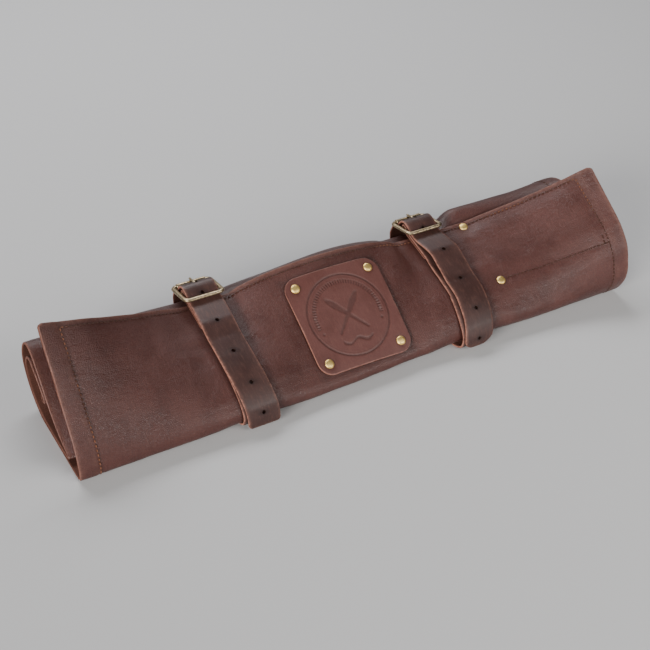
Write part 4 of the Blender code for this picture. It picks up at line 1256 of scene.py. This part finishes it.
for side, x in STRAP_X.items():
    points = chape_path(side)
    path, run = fine([(y, z, t) for (y, z), t in points])
    drift = [DRIFT[side] * max(0.0, 1 - math.hypot(y - 6.0, z - 1.0) / 42.0) ** 1.3 if z < 34 else 0.0
             for y, z, _ in path]
    chape = strap_band(f"strap_{side}", path, run, x, drift)
    slit = punch_tool((x, CENTRE_BAR[0], CENTRE_BAR[1] - 0.6), (1, 0, 0), 4.6, 2.3)
    punch(chape, [slit])
    kept(chape, "rolled_case", [f"strap_{side}"])

    points, head = billet_path(side)
    path, run = fine([(y, z, STRAP_T) for y, z in points])
    begin = float(run[int(np.argmin(np.hypot(path[:, 0] - points[head][0], path[:, 1] - points[head][1])))])
    drift = [sideways(side, r - begin) for r in run]
    tail = strap_band(f"strap_tail_{side}", path, run, x, drift, TIP_CORNER[side])
    tools = []
    for at in (begin - 10.5, *(begin + h for h in HOLE_AT)):
        (y, z), (oy, oz) = path_spot(path, run, at)
        tools.append(punch_tool((x + sideways(side, at - begin), y, z), (0, oy, oz), HOLE_R, 2.6))
    over_bar = float(run[np.argmin(np.hypot(path[:, 0] - 91.4, path[:, 1] - 63.9))])
    (y, z), (oy, oz) = path_spot(path, run, over_bar)
    tools.append(punch_tool((x, y, z), (0, oy, oz), HOLE_R, 3.0, 1.6))
    punch(tail, tools)
    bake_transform(tail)
    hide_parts(f"strap_tail_{side}")
    tail.name = f"strap_tail_{side}_finished"

    # flat rivet through the chape, two rivets through the back
    y, z = along_flap(side, 17.0, 17.0, 1, 5.0, 5.0)[0]
    out = (0, *(float(np.interp(17.0, PINCHED_LEN[side], PINCHED_OUT[side][:, c])) for c in (0, 1)))
    rivet(f"chape_rivet_{side}", (x, y, z), out, 3.4, FLAT_CAP)
    at = control_length(x, 12) + BACK_RIVET_RUN
    for number, dx in enumerate((-6.5, 6.5), 1):
        place, out = level_spot(x + dx, at, STRAP_OFF + STRAP_T / 2)
        rivet(f"back_rivet_{side}_{number}", place, out, STRAP_T + 0.5 + COVER_T)


# --- buckles ----------------------------------------------------------------------------------
def frame_point(x, u, v, lift=0.0):
    """A place on the buckle frame: u across, v from the front bar to the rear bar, lift off its plane."""
    return (x + u, FRONT_BAR[0] + FRAME_DIR[0] * v - FRAME_DIR[1] * lift,
            FRONT_BAR[1] + FRAME_DIR[1] * v + FRAME_DIR[0] * lift)


FRAME_UP = (0, -FRAME_DIR[1], FRAME_DIR[0])


def buckle(side):
    x = STRAP_X[side]
    corner = 3.6
    loop = []
    for cx, cy, start in (
        (FRAME_HALF_W - corner, FRAME_LENGTH - corner, 0),
        (-FRAME_HALF_W + corner, FRAME_LENGTH - corner, 90),
        (-FRAME_HALF_W + corner, corner, 180),
        (FRAME_HALF_W - corner, corner, 270),
    ):
        for k in range(9):
            a = math.radians(start + 90 * k / 8)
            loop.append(frame_point(x, cx + corner * math.cos(a), cy + corner * math.sin(a)))
    dense = []
    for p, q in zip(loop, loop[1:] + loop[:1]):
        gap = math.dist(p, q)
        steps = max(1, round(gap / 2.0))
        dense += [tuple(a + (b - a) * k / steps for a, b in zip(p, q)) for k in range(steps)]
    ring = bar("ring", dense, lambda i: oval(1.8, 1.42, 16, 0.12), OLD_BRASS, closed=True, up=FRAME_UP)
    spine = [frame_point(x, -FRAME_HALF_W + 0.2 + (2 * FRAME_HALF_W - 0.4) * k / 16, FRAME_LENGTH / 2)
             for k in range(17)]
    middle = bar("spine", spine, lambda i: oval(1.25, 1.2, 14), OLD_BRASS, up=FRAME_UP)
    frame_node = f"buckle_frame_{side}"
    kept(joined(frame_node, [ring, middle]), "rolled_case", [frame_node])

    # rolled sheet-brass sleeve: a slit along it, lips turned at both ends
    half, lip = ROLLER_LENGTH / 2, 0.35
    outer = [
        (-half, ROLLER_OUT - 0.25, 0.2), (-half + lip, ROLLER_OUT, 0.4),
        (-half + 1.2, ROLLER_OUT - 0.04, 0.1), (0, ROLLER_OUT - 0.02, 0.15),
        (half - 1.2, ROLLER_OUT - 0.04, 0.1), (half - lip, ROLLER_OUT, 0.4),
        (half, ROLLER_OUT - 0.25, 0.2), (half, ROLLER_IN + 0.08, 0), (half - 0.5, ROLLER_IN, 0),
        (-half + 0.5, ROLLER_IN, 0), (-half, ROLLER_IN + 0.08, 0),
    ]
    verts, faces, edge, hollow = [], [], [], []
    turns, slit = 40, math.radians(4.0)
    for k in range(turns + 1):
        a = math.radians(250) + slit / 2 + (2 * math.pi - slit) * k / turns
        for h, r, e in outer:
            verts.append((x + h, REAR_BAR[0] + r * math.cos(a), REAR_BAR[1] + r * math.sin(a)))
            edge.append(e)
            hollow.append(1.0 if r < ROLLER_OUT - 0.3 else 0.0)
    count = len(outer)
    for k in range(turns):
        for i in range(count):
            a, b = k * count, (k + 1) * count
            faces.append((a + i, a + (i + 1) % count, b + (i + 1) % count, b + i))
    faces += [list(range(count))[::-1], [turns * count + i for i in range(count)]]
    roller = build(f"buckle_roller_{side}", verts, faces, [OLD_BRASS],
                   {"hide": np.array(verts), "edge": edge, "hollow": hollow})
    kept(roller, f"roller_{side}", [f"buckle_roller_{side}"])

    # prong: an eye bent round the centre bar, then a tapering shank resting on the roller
    (bar_y, bar_z), (rear_y, rear_z) = CENTRE_BAR, REAR_BAR
    over_roller = rear_z + ROLLER_OUT
    shank = [(bar_y + 0.6, bar_z + 2.25), (bar_y + 3.5, bar_z + 2.75), (bar_y + 8.0, bar_z + 2.7),
             (rear_y - 1.2, over_roller + FIT + 1.05), (rear_y + 0.9, over_roller + FIT + 0.85),
             (rear_y + 2.2, over_roller + 0.75)]
    path, run = fine([(y, z, 0) for y, z in shank], 0.9)

    def taper(i):
        t = run[i] / run[-1]
        wide = (1.3 * (1 - t) + 0.85 * t) * (1 - 0.65 * float(ease(0.94, 1.0, t)))
        return oval(wide, 0.82 * (1 - 0.5 * float(ease(0.93, 1.0, t))), 12)

    blade = bar("blade", [(x, y, z) for y, z, _ in path], taper, OLD_BRASS, up=(0, 0.1, 1))
    eye_path = [(x, CENTRE_BAR[0] + 2.12 * math.cos(math.radians(75 + 300 * k / 30)),
                 CENTRE_BAR[1] + 2.12 * math.sin(math.radians(75 + 300 * k / 30))) for k in range(31)]
    wide, thick = (1.3, 1.05), (0.3, 0.48)  # a ribbon of brass, its corners cut
    ribbon = [(wide[0], thick[0]), (wide[0], -thick[0]), (wide[1], -thick[1]), (-wide[1], -thick[1]),
              (-wide[0], -thick[0]), (-wide[0], thick[0]), (-wide[1], thick[1]), (wide[1], thick[1])]
    eye = bar("eye", eye_path, lambda i: [(u, v, 0.2, 0.2) for u, v in ribbon], OLD_BRASS)
    prong = joined(f"buckle_prong_{side}", [blade, eye])
    kept(prong, f"prong_{side}", [f"buckle_prong_{side}"])


for side in STRAP_X:
    buckle(side)

# --- floor, lights, camera --------------------------------------------------------------------
FLOOR_SIZE = 5.0
FLOOR_GAP = 0.0004  # how far the paper lies below z = 0


def pale_floor():
    mesh = bpy.data.meshes.new("floor")
    h = FLOOR_SIZE / 2
    mesh.from_pydata([(-h, -h, 0), (h, -h, 0), (h, h, 0), (-h, h, 0)], [], [(0, 1, 2, 3)])
    floor = bpy.data.objects.new("floor", mesh)
    floor.location.z = -FLOOR_GAP
    bpy.context.scene.collection.objects.link(floor)
    made, tree, shader = finish_named("pale studio paper", Roughness=0.85)
    shader.inputs["Base Color"].default_value = (0.62, 0.62, 0.625, 1)
    mesh.materials.append(made)


pale_floor()


def softbox(name, place, aim, size, power, colour=(1.0, 0.98, 0.95)):
    light = bpy.data.lights.new(name, "AREA")
    light.shape = "RECTANGLE"
    light.size, light.size_y = size
    light.energy = power
    light.color = colour
    lamp = bpy.data.objects.new(name, light)
    lamp.location = place
    lamp.rotation_euler = (Vector(aim) - Vector(place)).to_track_quat("-Z", "Y").to_euler()
    bpy.context.scene.collection.objects.link(lamp)


AIM = (0.0, 0.0, 0.03)
softbox("left key softbox", (-3.9, -2.25, 1.3), AIM, (2.3, 1.7), 270.0)
softbox("front right softbox", (0.62, -1.15, 0.66), (0.18, 0.0, 0.03), (0.7, 0.45), 7.5)
softbox("middle softbox", (0.08, -0.85, 0.72), (0.10, 0.0, 0.04), (0.45, 0.3), 1.4)
softbox("top rear softbox", (0.05, 1.05, 1.2), AIM, (1.6, 0.5), 19.0, (0.98, 0.98, 1.0))
world = bpy.data.worlds.new("studio")
world.use_nodes = True
world.node_tree.nodes["Background"].inputs["Color"].default_value = (0.80, 0.82, 0.85, 1)
world.node_tree.nodes["Background"].inputs["Strength"].default_value = 0.10
bpy.context.scene.world = world

AZIMUTH, ELEVATION = math.radians(29.7), math.radians(34.9)
DISTANCE = 0.8961
LENS, SENSOR = 66.46, 36.0
TARGET = Vector((-0.0209, -0.0109, 0.030))
away = Vector((math.sin(AZIMUTH), math.cos(AZIMUTH), 0))
forward = away * math.cos(ELEVATION) - Vector((0, 0, math.sin(ELEVATION)))
right = Vector((math.cos(AZIMUTH), -math.sin(AZIMUTH), 0))
upward = right.cross(forward)
camera = bpy.data.objects.new("camera", bpy.data.cameras.new("camera"))
camera.data.lens = LENS
camera.data.sensor_width = SENSOR
camera.data.clip_start = 0.01
eye_place = TARGET - forward * DISTANCE
camera.matrix_world = Matrix((
    (right.x, upward.x, -forward.x, eye_place.x),
    (right.y, upward.y, -forward.y, eye_place.y),
    (right.z, upward.z, -forward.z, eye_place.z),
    (0, 0, 0, 1),
))
bpy.context.scene.collection.objects.link(camera)
bpy.context.scene.camera = camera

bpy.context.view_layer.update()
